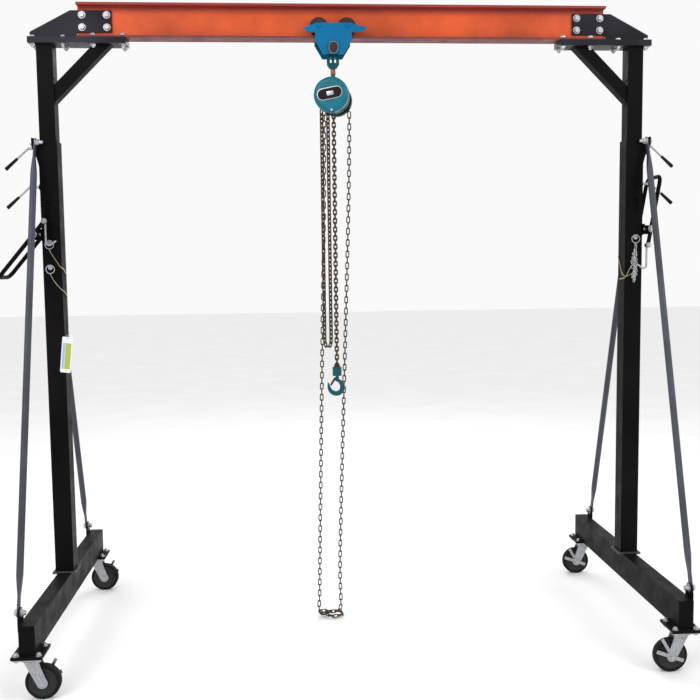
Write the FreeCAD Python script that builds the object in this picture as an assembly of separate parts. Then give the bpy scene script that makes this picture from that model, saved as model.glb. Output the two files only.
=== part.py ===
"""Travelling gantry crane with a chain hoist.

Frame: millimetres, +Z up, floor at Z = 0, origin on the floor midway between the legs.
X runs along the beam, Y across it; the casters stand on the floor.
"""
import FreeCAD, Part
import math
import os

V = FreeCAD.Vector
ORIGIN = V(0, 0, 0)
X, Y, Z = V(1, 0, 0), V(0, 1, 0), V(0, 0, 1)

# ---- driving dimensions -------------------------------------------------------------
COLUMN_SPREAD = 2436.0        # column axis to column axis
BEAM_LENGTH = 2174.0
BEAM_DEPTH = 138.0
BEAM_WIDTH = 75.0
FLANGE = 9.0
WEB = 6.0

FOOT_LENGTH = 1236.0
FOOT_WIDTH = 58.0
FOOT_HEIGHT = 110.0
TUBE_WALL = 4.0
DRAIN_HOLE = 4.0              # radius of the drain hole under each foot beam

WHEEL_RADIUS = 64.0
WHEEL_WIDTH = 34.0
CASTER_HEADROOM = 40.0        # from the wheel's top to the top of the caster's own plate
CASTER_TRAIL = 42.0
CASTER_INSET = 44.0           # from the foot beam's end to the swivel axis
CASTER_PLATE = (100.0, 112.0, 6.0)
MOUNT_PLATE = (112.0, 124.0, 10.0)

COLUMN_OUTER = 75.0           # lower column, square
COLUMN_GAP = 1.0              # sliding clearance each side of the inner column
COLUMN_TOP = 2081.0
BASE_PLATE = (96.0, 100.0, 8.0)
BEAM_SEAT = 2492.0            # underside of the beam at its lowest setting

CORNER_PLATE = (388.0, 96.0, 12.0)
CORNER_PLATE_IN = 892.0       # inner end of the corner plates, from mid span
GUSSET = 8.0                  # thickness of the web plates
BRACE = 50.0
BRACE_REACH = 229.0           # column axis to where the brace axis meets the plates
SEAT_GAP = 0.3                # running gap between pieces that move on each other

HOLE_PITCH = 100.0            # locking holes up the inner column
PIN_RADIUS = 6.0
PIN_OFFSET = 8.0              # outboard of the column axis
PIN_DROPS = (410.0, 510.0)    # locking pins below the lower column's top
RING_RADIUS = 17.0            # pull rings on the locking pins
RING_WIRE = 2.0
RING_DROP = 7.0               # ring's centre below its pin
SLOT_DROP = 275.0
SLOT = (18.0, 60.0)

STRUT_RADIUS = 13.0
STRUT_FLAT = 6.0              # thickness of a strut's flattened end
STRUT_TOP_DROP = 7.0          # upper strut bolts below the lower column's top
STRUT_SPACING = 104.0         # between the two upper strut bolts
STRUT_STANDOFF = 18.0         # bracket plate's far side from the column's outer face
STRUT_END = 14.0              # strut's end beyond its bolts
STRUT_TAPER = (62.0, 150.0)   # flattening starts and ends this far from the strut's bolts
BRACKET_PLATE = 6.0
LUG = (60.0, 50.0, 6.0)       # along Y, above the foot beam, thickness
LUG_BOLT_RISE = 34.0
STRUT_FOOT_IN = 46.0          # lower strut bolt from the foot beam's end

CLAMP_DROPS = (25.0, 181.0)   # clamp screws below the lower column's top
CLAMP_RADIUS = 5.5
CLAMP_BEND = 87.0             # bend of the handle from the column axis
CLAMP_ARM = 124.0
CLAMP_ANGLE = 42.0
GRIP = (4.8, 6.6, 66.0)       # grip radius at its start and end, and its length

LEVER_PIVOT_OUT = 62.0        # lever pivot from the column axis
LEVER_PIVOT_DROP = 376.0
LEVER_BAR = 8.5
LEVER_HALF = 71.5             # half the distance between the lever's two legs
LEVER_LONG = 224.0
LEVER_CORNER = 30.0
LEVER_SHORT = 70.0
LEVER_DOWN = -50.0            # handle below the horizontal, pointing outboard
LEVER_UP = 80.0
PIVOT_RADIUS = 6.0
PIVOT_FIT = 0.05
EAR = (46.0, 52.0, 22.0)      # inner face, outer face and half height of the pivot ears
LIFT_HOOK_RADIUS = 4.0
LIFT_HOOK_Y = 58.0
LIFT_HOOK_DROP = 85.0
LIFT_HOOK_BOWL = 12.0
LIFT_HOOK_SWEEP = 125.0
LIFT_HOOK_TIP = 26.0

TROLLEY_X = -55.0
TROLLEY_PLATE_Y = 46.0
TROLLEY_PLATE = 7.0
TROLLEY_WHEEL = 38.0
TROLLEY_WHEEL_WIDTH = 24.0
TROLLEY_WHEEL_X = 57.0
TROLLEY_AXLE = 8.0
SPINDLE_Z = 2452.0
SPINDLE_RADIUS = 11.0

HOIST_Z = 2263.0
HOIST_RADIUS = 72.0
HOIST_YAW = -12.0             # the hoist hangs turned by this much about its swivel
COVER_ROUND = 18.0            # rounded rim of the gear cover
HAND_WHEEL_Y = 85.0
HAND_COVER_RADIUS = 66.0
HAND_CHAIN_HALF = 54.0
CHAIN_RADIUS = 9.0
HOOK_BLOCK_TOP = 1136.0
HOOK_BLOCK = (19.0, 38.0)
SLACK_X = (-51.0, -24.0)
SLACK_BOTTOM = 1222.0
# Hook bowl: angle in degrees from +X, distance from the bowl's centre, bar radius.
HOOK_STATIONS = [(95, 34.0, 7.0), (60, 30.0, 8.5), (20, 26.0, 10.0), (-20, 24.5, 10.5), (-60, 24.0, 10.5),
                 (-100, 24.5, 10.5), (-140, 26.5, 9.5), (-180, 31.0, 7.5), (-212, 41.0, 4.5)]

LANYARD_RADIUS = 2.5
BUNCH_RADIUS = 5.0            # the bunched chain under the right pin's ring
BUNCH_LENGTH = 160.0
TAG = (46.0, 1.2, 150.0)
TAG_DROP = 287.0              # tag's top edge below the lower locking pin
TAG_OUT = 10.0                # tag's edge past the column's inboard face

# ---- derived places -----------------------------------------------------------------
HALF = COLUMN_SPREAD / 2
CASTER_HEIGHT = 2 * WHEEL_RADIUS + CASTER_HEADROOM
PIN_HEIGHTS = [COLUMN_TOP - drop for drop in PIN_DROPS]
CLAMP_HEIGHTS = [COLUMN_TOP - drop for drop in CLAMP_DROPS]
SLOT_HEIGHT = COLUMN_TOP - SLOT_DROP
STRUT_TOP = COLUMN_TOP - STRUT_TOP_DROP
LEVER_PIVOT_Z = COLUMN_TOP - LEVER_PIVOT_DROP
HALF_COLUMN = COLUMN_OUTER / 2
INNER_COLUMN = COLUMN_OUTER - 2 * TUBE_WALL - 2 * COLUMN_GAP
FOOT_Z = CASTER_HEIGHT + MOUNT_PLATE[2]
FOOT_TOP = FOOT_Z + FOOT_HEIGHT
COLUMN_FOOT = FOOT_TOP + BASE_PLATE[2]
BEAM_TOP = BEAM_SEAT + BEAM_DEPTH
PLATES_BOTTOM = BEAM_SEAT - 2 * CORNER_PLATE[2]
CASTER_Y = FOOT_LENGTH / 2 - CASTER_INSET
TROLLEY_AXLE_Z = BEAM_SEAT + FLANGE + TROLLEY_WHEEL + SEAT_GAP
OUTER_FACE = HALF + HALF_COLUMN


# ---- small makers -------------------------------------------------------------------
def box(x0, x1, y0, y1, z0, z1):
    return Part.makeBox(x1 - x0, y1 - y0, z1 - z0, V(x0, y0, z0))


def rod(start, end, radius):
    return Part.makeCylinder(radius, (end - start).Length, start, end - start)


def disc(centre, axis, radius, length):
    """Cylinder centred on a point, along an axis."""
    return Part.makeCylinder(radius, length, centre - axis * (length / 2), axis)


def bent_rod(centre, axis, start, radius, degrees):
    """Round bar bent about a centre, from a start point on the bend's centre line."""
    ring = Part.Circle(start, axis.cross(start - centre), radius)
    return Part.Face(Part.Wire(ring.toShape())).revolve(centre, axis, degrees)


def slab(points, direction):
    """Prism over a closed outline of points."""
    return Part.Face(Part.makePolygon(points + points[:1])).extrude(direction)


def square_tube(x, y, z0, z1, outer, wall):
    h = outer / 2
    inner = h - wall
    body = box(x - h, x + h, y - h, y + h, z0, z1)
    return body.cut(box(x - inner, x + inner, y - inner, y + inner, z0 - 1, z1 + 1))


def turned(shape, centre, axis, degrees):
    copy = shape.copy()
    copy.rotate(centre, axis, degrees)
    return copy


def to_side(shape, side):
    """Shapes are made for the right leg; the left leg is the mirror image."""
    return shape if side > 0 else shape.mirror(ORIGIN, X)


def front_and_rear(shape):
    return [shape, shape.mirror(ORIGIN, Y)]


def save(name, solids):
    Part.makeCompound(solids).exportStep("parts/%s.step" % name)


# ---- feet and casters ---------------------------------------------------------------
def foot_beam():
    half = FOOT_WIDTH / 2
    body = box(HALF - half, HALF + half, -FOOT_LENGTH / 2, FOOT_LENGTH / 2, FOOT_Z, FOOT_TOP)
    hollow = box(HALF - half + TUBE_WALL, HALF + half - TUBE_WALL, -FOOT_LENGTH / 2 + TUBE_WALL,
                 FOOT_LENGTH / 2 - TUBE_WALL, FOOT_Z + TUBE_WALL, FOOT_TOP - TUBE_WALL)
    drain = rod(V(HALF, 0, FOOT_Z - 1), V(HALF, 0, FOOT_Z + TUBE_WALL + 1), DRAIN_HOLE)
    return body.cut(hollow).cut(drain)


def caster_bolt_holes(y, z0, z1):
    dx, dy = CASTER_PLATE[0] / 2 - 10, CASTER_PLATE[1] / 2 - 12
    return [rod(V(HALF + sx * dx, y + sy * dy, z0 - 1), V(HALF + sx * dx, y + sy * dy, z1 + 1), 5.0)
            for sx in (-1, 1) for sy in (-1, 1)]


def plate_under_foot(size, y, z1):
    w, d, t = size
    plate = box(HALF - w / 2, HALF + w / 2, y - d / 2, y + d / 2, z1 - t, z1)
    for hole in caster_bolt_holes(y, z1 - t, z1):
        plate = plate.cut(hole)
    return plate


def caster(y):
    """Fork, side brake and wheel of one caster, trailing inboard with the brake in front."""
    axis_x = HALF - CASTER_TRAIL
    hub = V(axis_x, y, WHEEL_RADIUS)
    race_top = CASTER_HEIGHT - CASTER_PLATE[2] - SEAT_GAP
    crown = race_top - 12
    leg_in, leg = WHEEL_WIDTH / 2 + 3, 4.0
    race = Part.makeCylinder(38, 12, V(HALF, y, crown))
    top = box(HALF - 30, HALF + 24, y - leg_in - leg, y + leg_in + leg, crown - leg, crown)
    end = 20.0
    outline = [V(HALF - 30, 0, crown), V(HALF + 22, 0, crown),
               V(axis_x + end * 0.9, 0, WHEEL_RADIUS - end * 0.4),
               V(axis_x - end * 0.9, 0, WHEEL_RADIUS + end * 0.2)]
    fork = race.fuse(top)
    for s in (-1, 1):
        start = y + leg_in if s > 0 else y - leg_in - leg
        fork = fork.fuse(slab([p + V(0, start, 0) for p in outline], V(0, leg, 0)))
        fork = fork.fuse(rod(V(axis_x, start, WHEEL_RADIUS), V(axis_x, start + leg, WHEEL_RADIUS), end))
    axle = disc(hub, Y, 6.0, 2 * (leg_in + leg) + 12)
    fork = fork.fuse(axle).removeSplitter()
    wheel = disc(hub, Y, WHEEL_RADIUS, WHEEL_WIDTH)
    wheel = wheel.makeFillet(5, [e for e in wheel.Edges if isinstance(e.Curve, Part.Circle)])
    wheel = wheel.fuse(disc(hub, Y, 15, WHEEL_WIDTH + 4)).cut(disc(hub, Y, 6.0 + PIVOT_FIT, WHEEL_WIDTH + 6))
    front = y - leg_in - leg - SEAT_GAP
    bar = box(axis_x - 64, axis_x + 46, front - 4, front, WHEEL_RADIUS - 7, WHEEL_RADIUS + 7)
    bar = turned(bar, hub, Y, 20)
    arm = box(axis_x - 6, axis_x + 6, front - 4, front, WHEEL_RADIUS, WHEEL_RADIUS + 82)
    arm = turned(arm, hub, Y, -30)
    brake = bar.fuse(arm).cut(disc(hub, Y, 6.3, 200)).removeSplitter()
    return fork, brake, wheel


def casters(side):
    made = {}
    for place, y in (("front", -CASTER_Y), ("rear", CASTER_Y)):
        fork, brake, wheel = caster(y)
        pieces = [fork, brake, wheel]
        if side < 0:
            pieces = [turned(p, ORIGIN, Z, 180) for p in caster(-y)]
        made[place] = pieces
    return made


# ---- lower column, its struts and fittings ------------------------------------------
def pin_x():
    return HALF + PIN_OFFSET


def lower_column():
    tube = square_tube(HALF, 0, COLUMN_FOOT, COLUMN_TOP, COLUMN_OUTER, TUBE_WALL)
    for z in PIN_HEIGHTS:
        tube = tube.cut(disc(V(pin_x(), 0, z), Y, PIN_RADIUS + PIVOT_FIT, COLUMN_OUTER + 2))
    w, h = SLOT
    tube = tube.cut(box(pin_x() - w / 2, pin_x() + w / 2, -HALF_COLUMN - 1, -HALF_COLUMN + TUBE_WALL + 1,
                        SLOT_HEIGHT - h / 2, SLOT_HEIGHT + h / 2))
    for z in CLAMP_HEIGHTS:
        tube = tube.cut(rod(V(HALF, 0, z), V(OUTER_FACE + 1, 0, z), CLAMP_RADIUS + PIVOT_FIT))
    return tube


def base_plate():
    w, d, t = BASE_PLATE
    return box(HALF - w / 2, HALF + w / 2, -d / 2, d / 2, FOOT_TOP, FOOT_TOP + t)


def strut_top():
    x = OUTER_FACE + STRUT_STANDOFF - BRACKET_PLATE - STRUT_FLAT / 2
    return V(x, -STRUT_SPACING / 2, STRUT_TOP)


def strut_foot():
    x = HALF + FOOT_WIDTH / 2 + LUG[2] + STRUT_FLAT / 2
    return V(x, -FOOT_LENGTH / 2 + STRUT_FOOT_IN, FOOT_TOP + LUG_BOLT_RISE)


def strut():
    """Round tube pressed flat towards each end, its corners cut off."""
    top, foot = strut_top(), strut_foot()
    line = (top - foot).normalize()
    along = V(0, line.y, line.z).normalize()
    side = X.cross(along)
    flat, round_from = STRUT_TAPER
    clear = STRUT_RADIUS + 1
    end, corner = STRUT_END, STRUT_END * 0.55
    body = rod(foot - line * (end + 1), top + line * (end + 1), STRUT_RADIUS)
    edge = [foot - along * end, foot + along * flat, foot + line * round_from,
            top - line * round_from, top - along * flat, top + along * end]
    depths = [STRUT_FLAT / 2, STRUT_FLAT / 2, clear, clear, STRUT_FLAT / 2, STRUT_FLAT / 2]
    outer = [p + X * depth for p, depth in zip(edge, depths)]
    inner = [p - X * depth for p, depth in zip(edge, depths)]
    outline = outer + inner[::-1]
    body = body.common(slab([p - side * clear for p in outline], side * (2 * clear)))
    face = [foot - along * end + side * corner, foot + side * clear, top + side * clear,
            top + along * end + side * corner, top + along * end - side * corner, top - side * clear,
            foot - side * clear, foot - along * end - side * corner]
    start = OUTER_FACE - clear
    body = body.common(slab([V(start, p.y, p.z) for p in face], V(foot.x + 2 * clear - start, 0, 0)))
    for end in (top, foot):
        body = body.cut(disc(end, X, 5.0 + PIVOT_FIT, 40))
    return body.removeSplitter()


def strut_bracket():
    """Plate held off the column's outer face by two tapered ribs."""
    face = OUTER_FACE
    out = STRUT_STANDOFF
    half = STRUT_SPACING / 2 + 20
    plate = slab([V(face + out, -half, COLUMN_TOP - 24), V(face + out, -half, COLUMN_TOP + 8),
                  V(face + out, half, COLUMN_TOP + 8), V(face + out, half, COLUMN_TOP - 24),
                  V(face + out, HALF_COLUMN - 8, COLUMN_TOP - 60),
                  V(face + out, -HALF_COLUMN + 8, COLUMN_TOP - 60)],
                 V(-BRACKET_PLATE, 0, 0))
    body = plate
    for y in (-HALF_COLUMN, HALF_COLUMN - BRACKET_PLATE):
        rib = slab([V(face, y, COLUMN_TOP), V(face + out - BRACKET_PLATE, y, COLUMN_TOP),
                    V(face + out - BRACKET_PLATE, y, COLUMN_TOP - 56), V(face, y, COLUMN_TOP - 100)],
                   V(0, BRACKET_PLATE, 0))
        body = body.fuse(rib)
    for s in (-1, 1):
        body = body.cut(disc(V(face + out, s * STRUT_SPACING / 2, STRUT_TOP), X, 5.0 + PIVOT_FIT, 40))
    body = body.cut(disc(V(face + out, 0, CLAMP_HEIGHTS[0]), X, CLAMP_RADIUS + 2, 40))
    return body.removeSplitter()


def lever_pivot():
    return V(HALF + LEVER_PIVOT_OUT, 0, LEVER_PIVOT_Z)


def lever_bracket():
    """Channel with two ears on the column's outer face, and the pivot bolt through it."""
    inner, outer, half = EAR
    px, pz = lever_pivot().x, LEVER_PIVOT_Z
    body = box(OUTER_FACE, OUTER_FACE + BRACKET_PLATE, -outer, outer, pz - half, pz + half)
    for y in (-outer, inner):
        body = body.fuse(box(OUTER_FACE, px + 14, y, y + outer - inner, pz - half, pz + half - 6))
    bolt = rod(V(px, -LEVER_HALF - LEVER_BAR - 8, pz), V(px, LEVER_HALF + LEVER_BAR + 8, pz), PIVOT_RADIUS)
    body = body.fuse(bolt)
    for s in (-1, 1):
        y = s * (LEVER_HALF + LEVER_BAR + 0.5)
        body = body.fuse(rod(V(px, y, pz), V(px, y + s * 7, pz), 11))
    return body.removeSplitter()


def foot_lug(end):
    """Lug on the outer edge of a foot beam for the strut's lower bolt."""
    x = HALF + FOOT_WIDTH / 2
    y = end * (FOOT_LENGTH / 2 - STRUT_FOOT_IN)
    along, rise, thick = LUG
    lug = slab([V(x, y - along / 2, FOOT_TOP - 26), V(x, y + along / 2, FOOT_TOP - 26),
                V(x, y + along / 2, FOOT_TOP + rise * 0.4), V(x, y + along / 4, FOOT_TOP + rise),
                V(x, y - along / 4, FOOT_TOP + rise), V(x, y - along / 2, FOOT_TOP + rise * 0.4)],
               V(thick, 0, 0))
    return lug.cut(disc(V(x, y, FOOT_TOP + LUG_BOLT_RISE), X, 5.0 + PIVOT_FIT, 40))


def locking_pin(z):
    """Shank in the column's front wall, a washer head and a pull ring lying on the face."""
    x, face = pin_x(), -HALF_COLUMN
    shank = rod(V(x, face + TUBE_WALL, z), V(x, face, z), PIN_RADIUS)
    head = rod(V(x, face, z), V(x, face - 4, z), 9.5)
    ring = Part.makeTorus(RING_RADIUS, RING_WIRE, V(x, face - 5.5, z - RING_DROP), Y)
    return shank.fuse(head).fuse(ring).removeSplitter()


def clamp_screw(z):
    """Screw through the outer wall with a cranked handle and a tapered grip."""
    bend = V(HALF + CLAMP_BEND, 0, z)
    a = math.radians(CLAMP_ANGLE)
    down = V(math.cos(a), 0, -math.sin(a))
    start = V(HALF + INNER_COLUMN / 2 + SEAT_GAP, 0, z)
    body = rod(start, bend, CLAMP_RADIUS).fuse(Part.makeSphere(CLAMP_RADIUS, bend))
    body = body.fuse(rod(bend, bend + down * CLAMP_ARM, CLAMP_RADIUS - 1.5))
    thin, thick, length = GRIP
    grip_start = bend + down * (CLAMP_ARM + 2 - length)
    return body.fuse(Part.makeCone(thin, thick, length, grip_start, down)).removeSplitter()


def lever(angle):
    """U-shaped handle whose two legs straddle the column, drawn at a handle angle."""
    pivot = lever_pivot()
    corner = LEVER_CORNER
    long_end = LEVER_LONG
    legs = []
    for s in (-1, 1):
        leg = rod(V(-LEVER_SHORT, s * LEVER_HALF, 0), V(long_end - corner, s * LEVER_HALF, 0), LEVER_BAR)
        eye = disc(V(0, s * LEVER_HALF, 0), Y, 15, 2 * LEVER_BAR - 2)
        tip = disc(V(-LEVER_SHORT, s * LEVER_HALF, 0), Y, 11, 2 * LEVER_BAR - 2)
        legs += [leg, eye, tip]
    legs.append(rod(V(-LEVER_SHORT, -LEVER_HALF, 0), V(-LEVER_SHORT, -LIFT_HOOK_Y + 5, 0), 4.0))
    near = bent_rod(V(long_end - corner, -LEVER_HALF + corner, 0), Z, V(long_end, -LEVER_HALF + corner, 0),
                    LEVER_BAR, -90)
    far = bent_rod(V(long_end - corner, LEVER_HALF - corner, 0), Z, V(long_end, LEVER_HALF - corner, 0),
                   LEVER_BAR, 90)
    cross = rod(V(long_end, -LEVER_HALF + corner, 0), V(long_end, LEVER_HALF - corner, 0), LEVER_BAR)
    body = legs[0].multiFuse(legs[1:] + [near, far, cross])
    body = body.cut(disc(ORIGIN, Y, PIVOT_RADIUS + PIVOT_FIT, 3 * LEVER_HALF))
    body = turned(body.removeSplitter(), ORIGIN, Y, -angle)
    body.translate(pivot)
    return body


def lever_tip(angle):
    a = math.radians(angle)
    return lever_pivot() - V(math.cos(a), 0, math.sin(a)) * LEVER_SHORT


def lift_hook(angle):
    """Hook hanging from the lever's short end, its open bowl turned inboard."""
    pin = lever_tip(angle) - Y * LIFT_HOOK_Y
    low = pin - Z * LIFT_HOOK_DROP
    r = LIFT_HOOK_BOWL
    centre = low - X * r
    half_turn, turn = (math.radians(LIFT_HOOK_SWEEP * share) for share in (0.5, 1.0))
    bottom = centre + V(math.cos(half_turn), 0, -math.sin(half_turn)) * r
    end = centre + V(math.cos(turn), 0, -math.sin(turn)) * r
    tip = end + V(-math.sin(turn), 0, -math.cos(turn)) * LIFT_HOOK_TIP
    bowl = Part.Arc(low, bottom, end).toShape()
    path = Part.Wire([Part.makeLine(pin, low), bowl, Part.makeLine(end, tip)])
    start = Part.Wire(Part.Circle(pin, Z, LIFT_HOOK_RADIUS).toShape())
    bar = path.makePipeShell([start], True, False)
    eye = disc(pin, Y, 9, 2 * LIFT_HOOK_RADIUS + 1)
    return eye.fuse(bar).cut(disc(pin, Y, 4.0 + PIVOT_FIT, 40)).removeSplitter()


# ---- beam and corner joints ---------------------------------------------------------
def main_beam():
    half, w = BEAM_LENGTH / 2, BEAM_WIDTH / 2
    web = box(-half, half, -WEB / 2, WEB / 2, BEAM_SEAT + FLANGE, BEAM_TOP - FLANGE)
    low = box(-half, half, -w, w, BEAM_SEAT, BEAM_SEAT + FLANGE)
    high = box(-half, half, -w, w, BEAM_TOP - FLANGE, BEAM_TOP)
    return web.fuse(low).fuse(high).removeSplitter()


def upper_column():
    foot = COLUMN_FOOT + SEAT_GAP
    tube = square_tube(HALF, 0, foot, PLATES_BOTTOM, INNER_COLUMN, TUBE_WALL)
    lowest = PIN_HEIGHTS[1] - HOLE_PITCH * int((PIN_HEIGHTS[1] - foot - 60) / HOLE_PITCH)
    count = int((COLUMN_TOP - 120 - lowest) / HOLE_PITCH)
    for i in range(count):
        z = lowest + i * HOLE_PITCH
        tube = tube.cut(rod(V(pin_x(), -HALF_COLUMN, z), V(pin_x(), HALF_COLUMN, z), PIN_RADIUS + 1))
    return tube


def knee_brace():
    """Square tube at 45 degrees, cut to meet the column and the corner plates."""
    meet = V(HALF - BRACE_REACH, 0, PLATES_BOTTOM)
    run = 400.0
    body = box(-run, run, -BRACE / 2, BRACE / 2, -BRACE / 2, BRACE / 2)
    inner = BRACE / 2 - TUBE_WALL + 1
    body = body.cut(box(-run - 1, run + 1, -inner, inner, -inner, inner))
    body = turned(body, ORIGIN, Y, 45)
    body.translate(meet)
    keep = box(meet.x - 200, HALF - INNER_COLUMN / 2, -BRACE, BRACE, PLATES_BOTTOM - 600, PLATES_BOTTOM)
    return body.common(keep)


def corner_plates():
    w, d, t = CORNER_PLATE
    x0 = CORNER_PLATE_IN
    return [box(x0, x0 + w, -d / 2, d / 2, BEAM_SEAT - (i + 1) * t, BEAM_SEAT - i * t) for i in range(2)]


def gusset(front):
    """Upright plate beside the web, cut away over the beam's lower flange."""
    end = BEAM_LENGTH / 2
    tail = CORNER_PLATE_IN + CORNER_PLATE[0] - 2
    y = -WEB / 2 - GUSSET if front else WEB / 2
    return slab([V(end + 4, y, BEAM_SEAT), V(tail, y, BEAM_SEAT), V(tail, y, BEAM_SEAT + 26),
                 V(end + 28, y, BEAM_SEAT + 112), V(end - 136, y, BEAM_SEAT + 112),
                 V(end - 136, y, BEAM_SEAT + 26), V(end + 4, y, BEAM_SEAT + 26)], V(0, GUSSET, 0))


# ---- trolley and hoist --------------------------------------------------------------
def trolley_plate():
    z = SPINDLE_Z
    right = [(66, 99), (139, 82), (126, 65), (76, 61), (76, 30), (42, -25)]
    left = [(-42, -25), (-74, 30), (-74, 60), (-108, 62), (-120, 79), (-66, 99)]
    outline = right + left
    points = [V(TROLLEY_X + dx, -TROLLEY_PLATE_Y, z + dz) for dx, dz in outline]
    plate = slab(points, V(0, -TROLLEY_PLATE, 0))
    return plate.cut(disc(V(TROLLEY_X, 0, z), Y, SPINDLE_RADIUS + PIVOT_FIT, 200))


def wheel_axle(dx, s):
    """Stub axle from a side plate into its wheel."""
    hub = V(TROLLEY_X + dx, s * TROLLEY_PLATE_Y, TROLLEY_AXLE_Z)
    return rod(hub, hub - V(0, s * 30, 0), TROLLEY_AXLE)


def trolley_wheel(dx, s):
    z = TROLLEY_AXLE_Z
    y = s * (BEAM_WIDTH / 2 - 1)
    x = TROLLEY_X + dx
    tread = rod(V(x, y - s * TROLLEY_WHEEL_WIDTH, z), V(x, y, z), TROLLEY_WHEEL)
    flange = rod(V(x, y, z), V(x, y + s * 5, z), TROLLEY_WHEEL - 6)
    return tread.fuse(flange).cut(disc(V(x, y, z), Y, TROLLEY_AXLE + PIVOT_FIT, 80))


def spindle():
    reach = TROLLEY_PLATE_Y + TROLLEY_PLATE + 12
    body = disc(V(TROLLEY_X, 0, SPINDLE_Z), Y, SPINDLE_RADIUS, 2 * reach)
    for s in (-1, 1):
        y0 = s * (TROLLEY_PLATE_Y + TROLLEY_PLATE)
        body = body.fuse(rod(V(TROLLEY_X, y0, SPINDLE_Z), V(TROLLEY_X, y0 + s * 9, SPINDLE_Z), 20))
        y1 = s * TROLLEY_PLATE_Y
        body = body.fuse(rod(V(TROLLEY_X, y1, SPINDLE_Z), V(TROLLEY_X, y1 - s * 18, SPINDLE_Z), 16))
    return body


def hanger():
    """Shackle plate on the spindle with a round shank that the hoist turns on."""
    x, z = TROLLEY_X, SPINDLE_Z
    outline = [(-18, 16), (18, 16), (25, 0), (25, -58), (14, -74), (-14, -74), (-25, -58),
               (-25, 0)]
    body = slab([V(x + dx, -11, z + dz) for dx, dz in outline], V(0, 22, 0))
    body = body.cut(disc(V(x, 0, z), Y, SPINDLE_RADIUS + PIVOT_FIT, 60))
    for s in (-1, 1):
        body = body.cut(box(x + s * 9 - 4, x + s * 9 + 4, -20, 20, z - 52, z - 30))
    body = body.fuse(rod(V(x, 0, z - 70), V(x, 0, HOIST_Z + HOIST_RADIUS - 16), 8.5))
    body = body.fuse(rod(V(x, 0, HOIST_Z + HOIST_RADIUS - 28), V(x, 0, HOIST_Z + HOIST_RADIUS - 14), 13))
    return body.removeSplitter()


def hoist_frame():
    """Side plates, top plate and load sheave of the chain block."""
    x, z, r = TROLLEY_X, HOIST_Z, HOIST_RADIUS
    body = disc(V(x, 0, z), Y, r - 6, 60).cut(disc(V(x, 0, z), Y, r - 18, 44))
    body = body.fuse(disc(V(x, 0, z), Y, 34, 60))
    top = z + r
    body = body.fuse(box(x - 22, x + 22, -26, 26, top - 13.7, top - 4))
    body = body.cut(rod(V(x, 0, top - 40), V(x, 0, top + 1), 8.5 + PIVOT_FIT))
    body = body.cut(rod(V(x, 0, top - 34), V(x, 0, top - 13.7), 13.6))
    for dx in (0.0,) + SLACK_X:
        body = body.cut(rod(V(x + dx, 0, z - 36), V(x + dx, 0, z - r - 10), CHAIN_RADIUS + SEAT_GAP))
    return turned(body.removeSplitter(), V(x, 0, 0), Z, HOIST_YAW)


def gear_cover():
    """Domed round cover on the front of the block."""
    x, z, r = TROLLEY_X, HOIST_Z, HOIST_RADIUS
    body = rod(V(x, -30, z), V(x, -78, z), r)
    rim = [e for e in body.Edges if isinstance(e.Curve, Part.Circle) and e.Vertexes[0].Point.y < -70]
    return turned(body.makeFillet(COVER_ROUND, rim), V(x, 0, 0), Z, HOIST_YAW)


def hand_wheel_cover():
    x, z, r = TROLLEY_X, HOIST_Z, HAND_COVER_RADIUS
    body = rod(V(x, 30, z), V(x, HAND_WHEEL_Y - 18, z), 40)
    drum = rod(V(x, HAND_WHEEL_Y - 18, z), V(x, HAND_WHEEL_Y + 18, z), r)
    drum = drum.makeFillet(8, [e for e in drum.Edges if isinstance(e.Curve, Part.Circle)])
    body = body.fuse(drum)
    for s in (-1, 1):
        cx = x + s * HAND_CHAIN_HALF
        body = body.cut(box(cx - 11, cx + 11, HAND_WHEEL_Y - 12, HAND_WHEEL_Y + 12, z - r - 5, z - 30))
    return turned(body.removeSplitter(), V(x, 0, 0), Z, HOIST_YAW)


def load_chain():
    """Load strand to the hook block, and the slack loop back to its anchor, as plain bars."""
    x, top = TROLLEY_X, HOIST_Z - 36
    load = rod(V(x, 0, HOOK_BLOCK_TOP), V(x, 0, top), CHAIN_RADIUS)
    left, right = (x + dx for dx in SLACK_X)
    r = (right - left) / 2
    loop = rod(V(left, 0, SLACK_BOTTOM + r), V(left, 0, top), CHAIN_RADIUS)
    loop = loop.fuse(rod(V(right, 0, SLACK_BOTTOM + r), V(right, 0, top), CHAIN_RADIUS))
    centre = V((left + right) / 2, 0, SLACK_BOTTOM + r)
    bend = bent_rod(centre, Y, centre + V(r, 0, 0), CHAIN_RADIUS, 180)
    return [turned(s, V(x, 0, 0), Z, HOIST_YAW) for s in (load, loop.fuse(bend).removeSplitter())]


def hand_chain():
    """Endless hand chain: two strands and the heap where it meets the floor."""
    top = HOIST_Z - 30.5
    strands = []
    for dx, foot_dx in ((-HAND_CHAIN_HALF, -106.0), (HAND_CHAIN_HALF, -10.0)):
        start = V(TROLLEY_X + dx, HAND_WHEEL_Y, top)
        end = V(TROLLEY_X + foot_dx, HAND_WHEEL_Y, 22)
        strands.append(rod(end, start, CHAIN_RADIUS))
    heap = box(TROLLEY_X - 118, TROLLEY_X + 16, HAND_WHEEL_Y - 30, HAND_WHEEL_Y + 30, 2, 34)
    body = strands[0].fuse(strands[1]).fuse(heap).removeSplitter()
    return turned(body, V(TROLLEY_X, 0, 0), Z, HOIST_YAW)


def hook_block():
    r, h = HOOK_BLOCK
    top = V(TROLLEY_X, 0, HOOK_BLOCK_TOP)
    body = rod(top, top - V(0, 0, h), r)
    return body.cut(rod(top - V(0, 0, 14), top - V(0, 0, h + 1), 7.0 + PIVOT_FIT)).cut(
        rod(top - V(0, 0, 8), top - V(0, 0, 24), 12.0))


def hook_centre():
    return V(TROLLEY_X - 3, 0, HOOK_BLOCK_TOP - HOOK_BLOCK[1] - 52)


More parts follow.
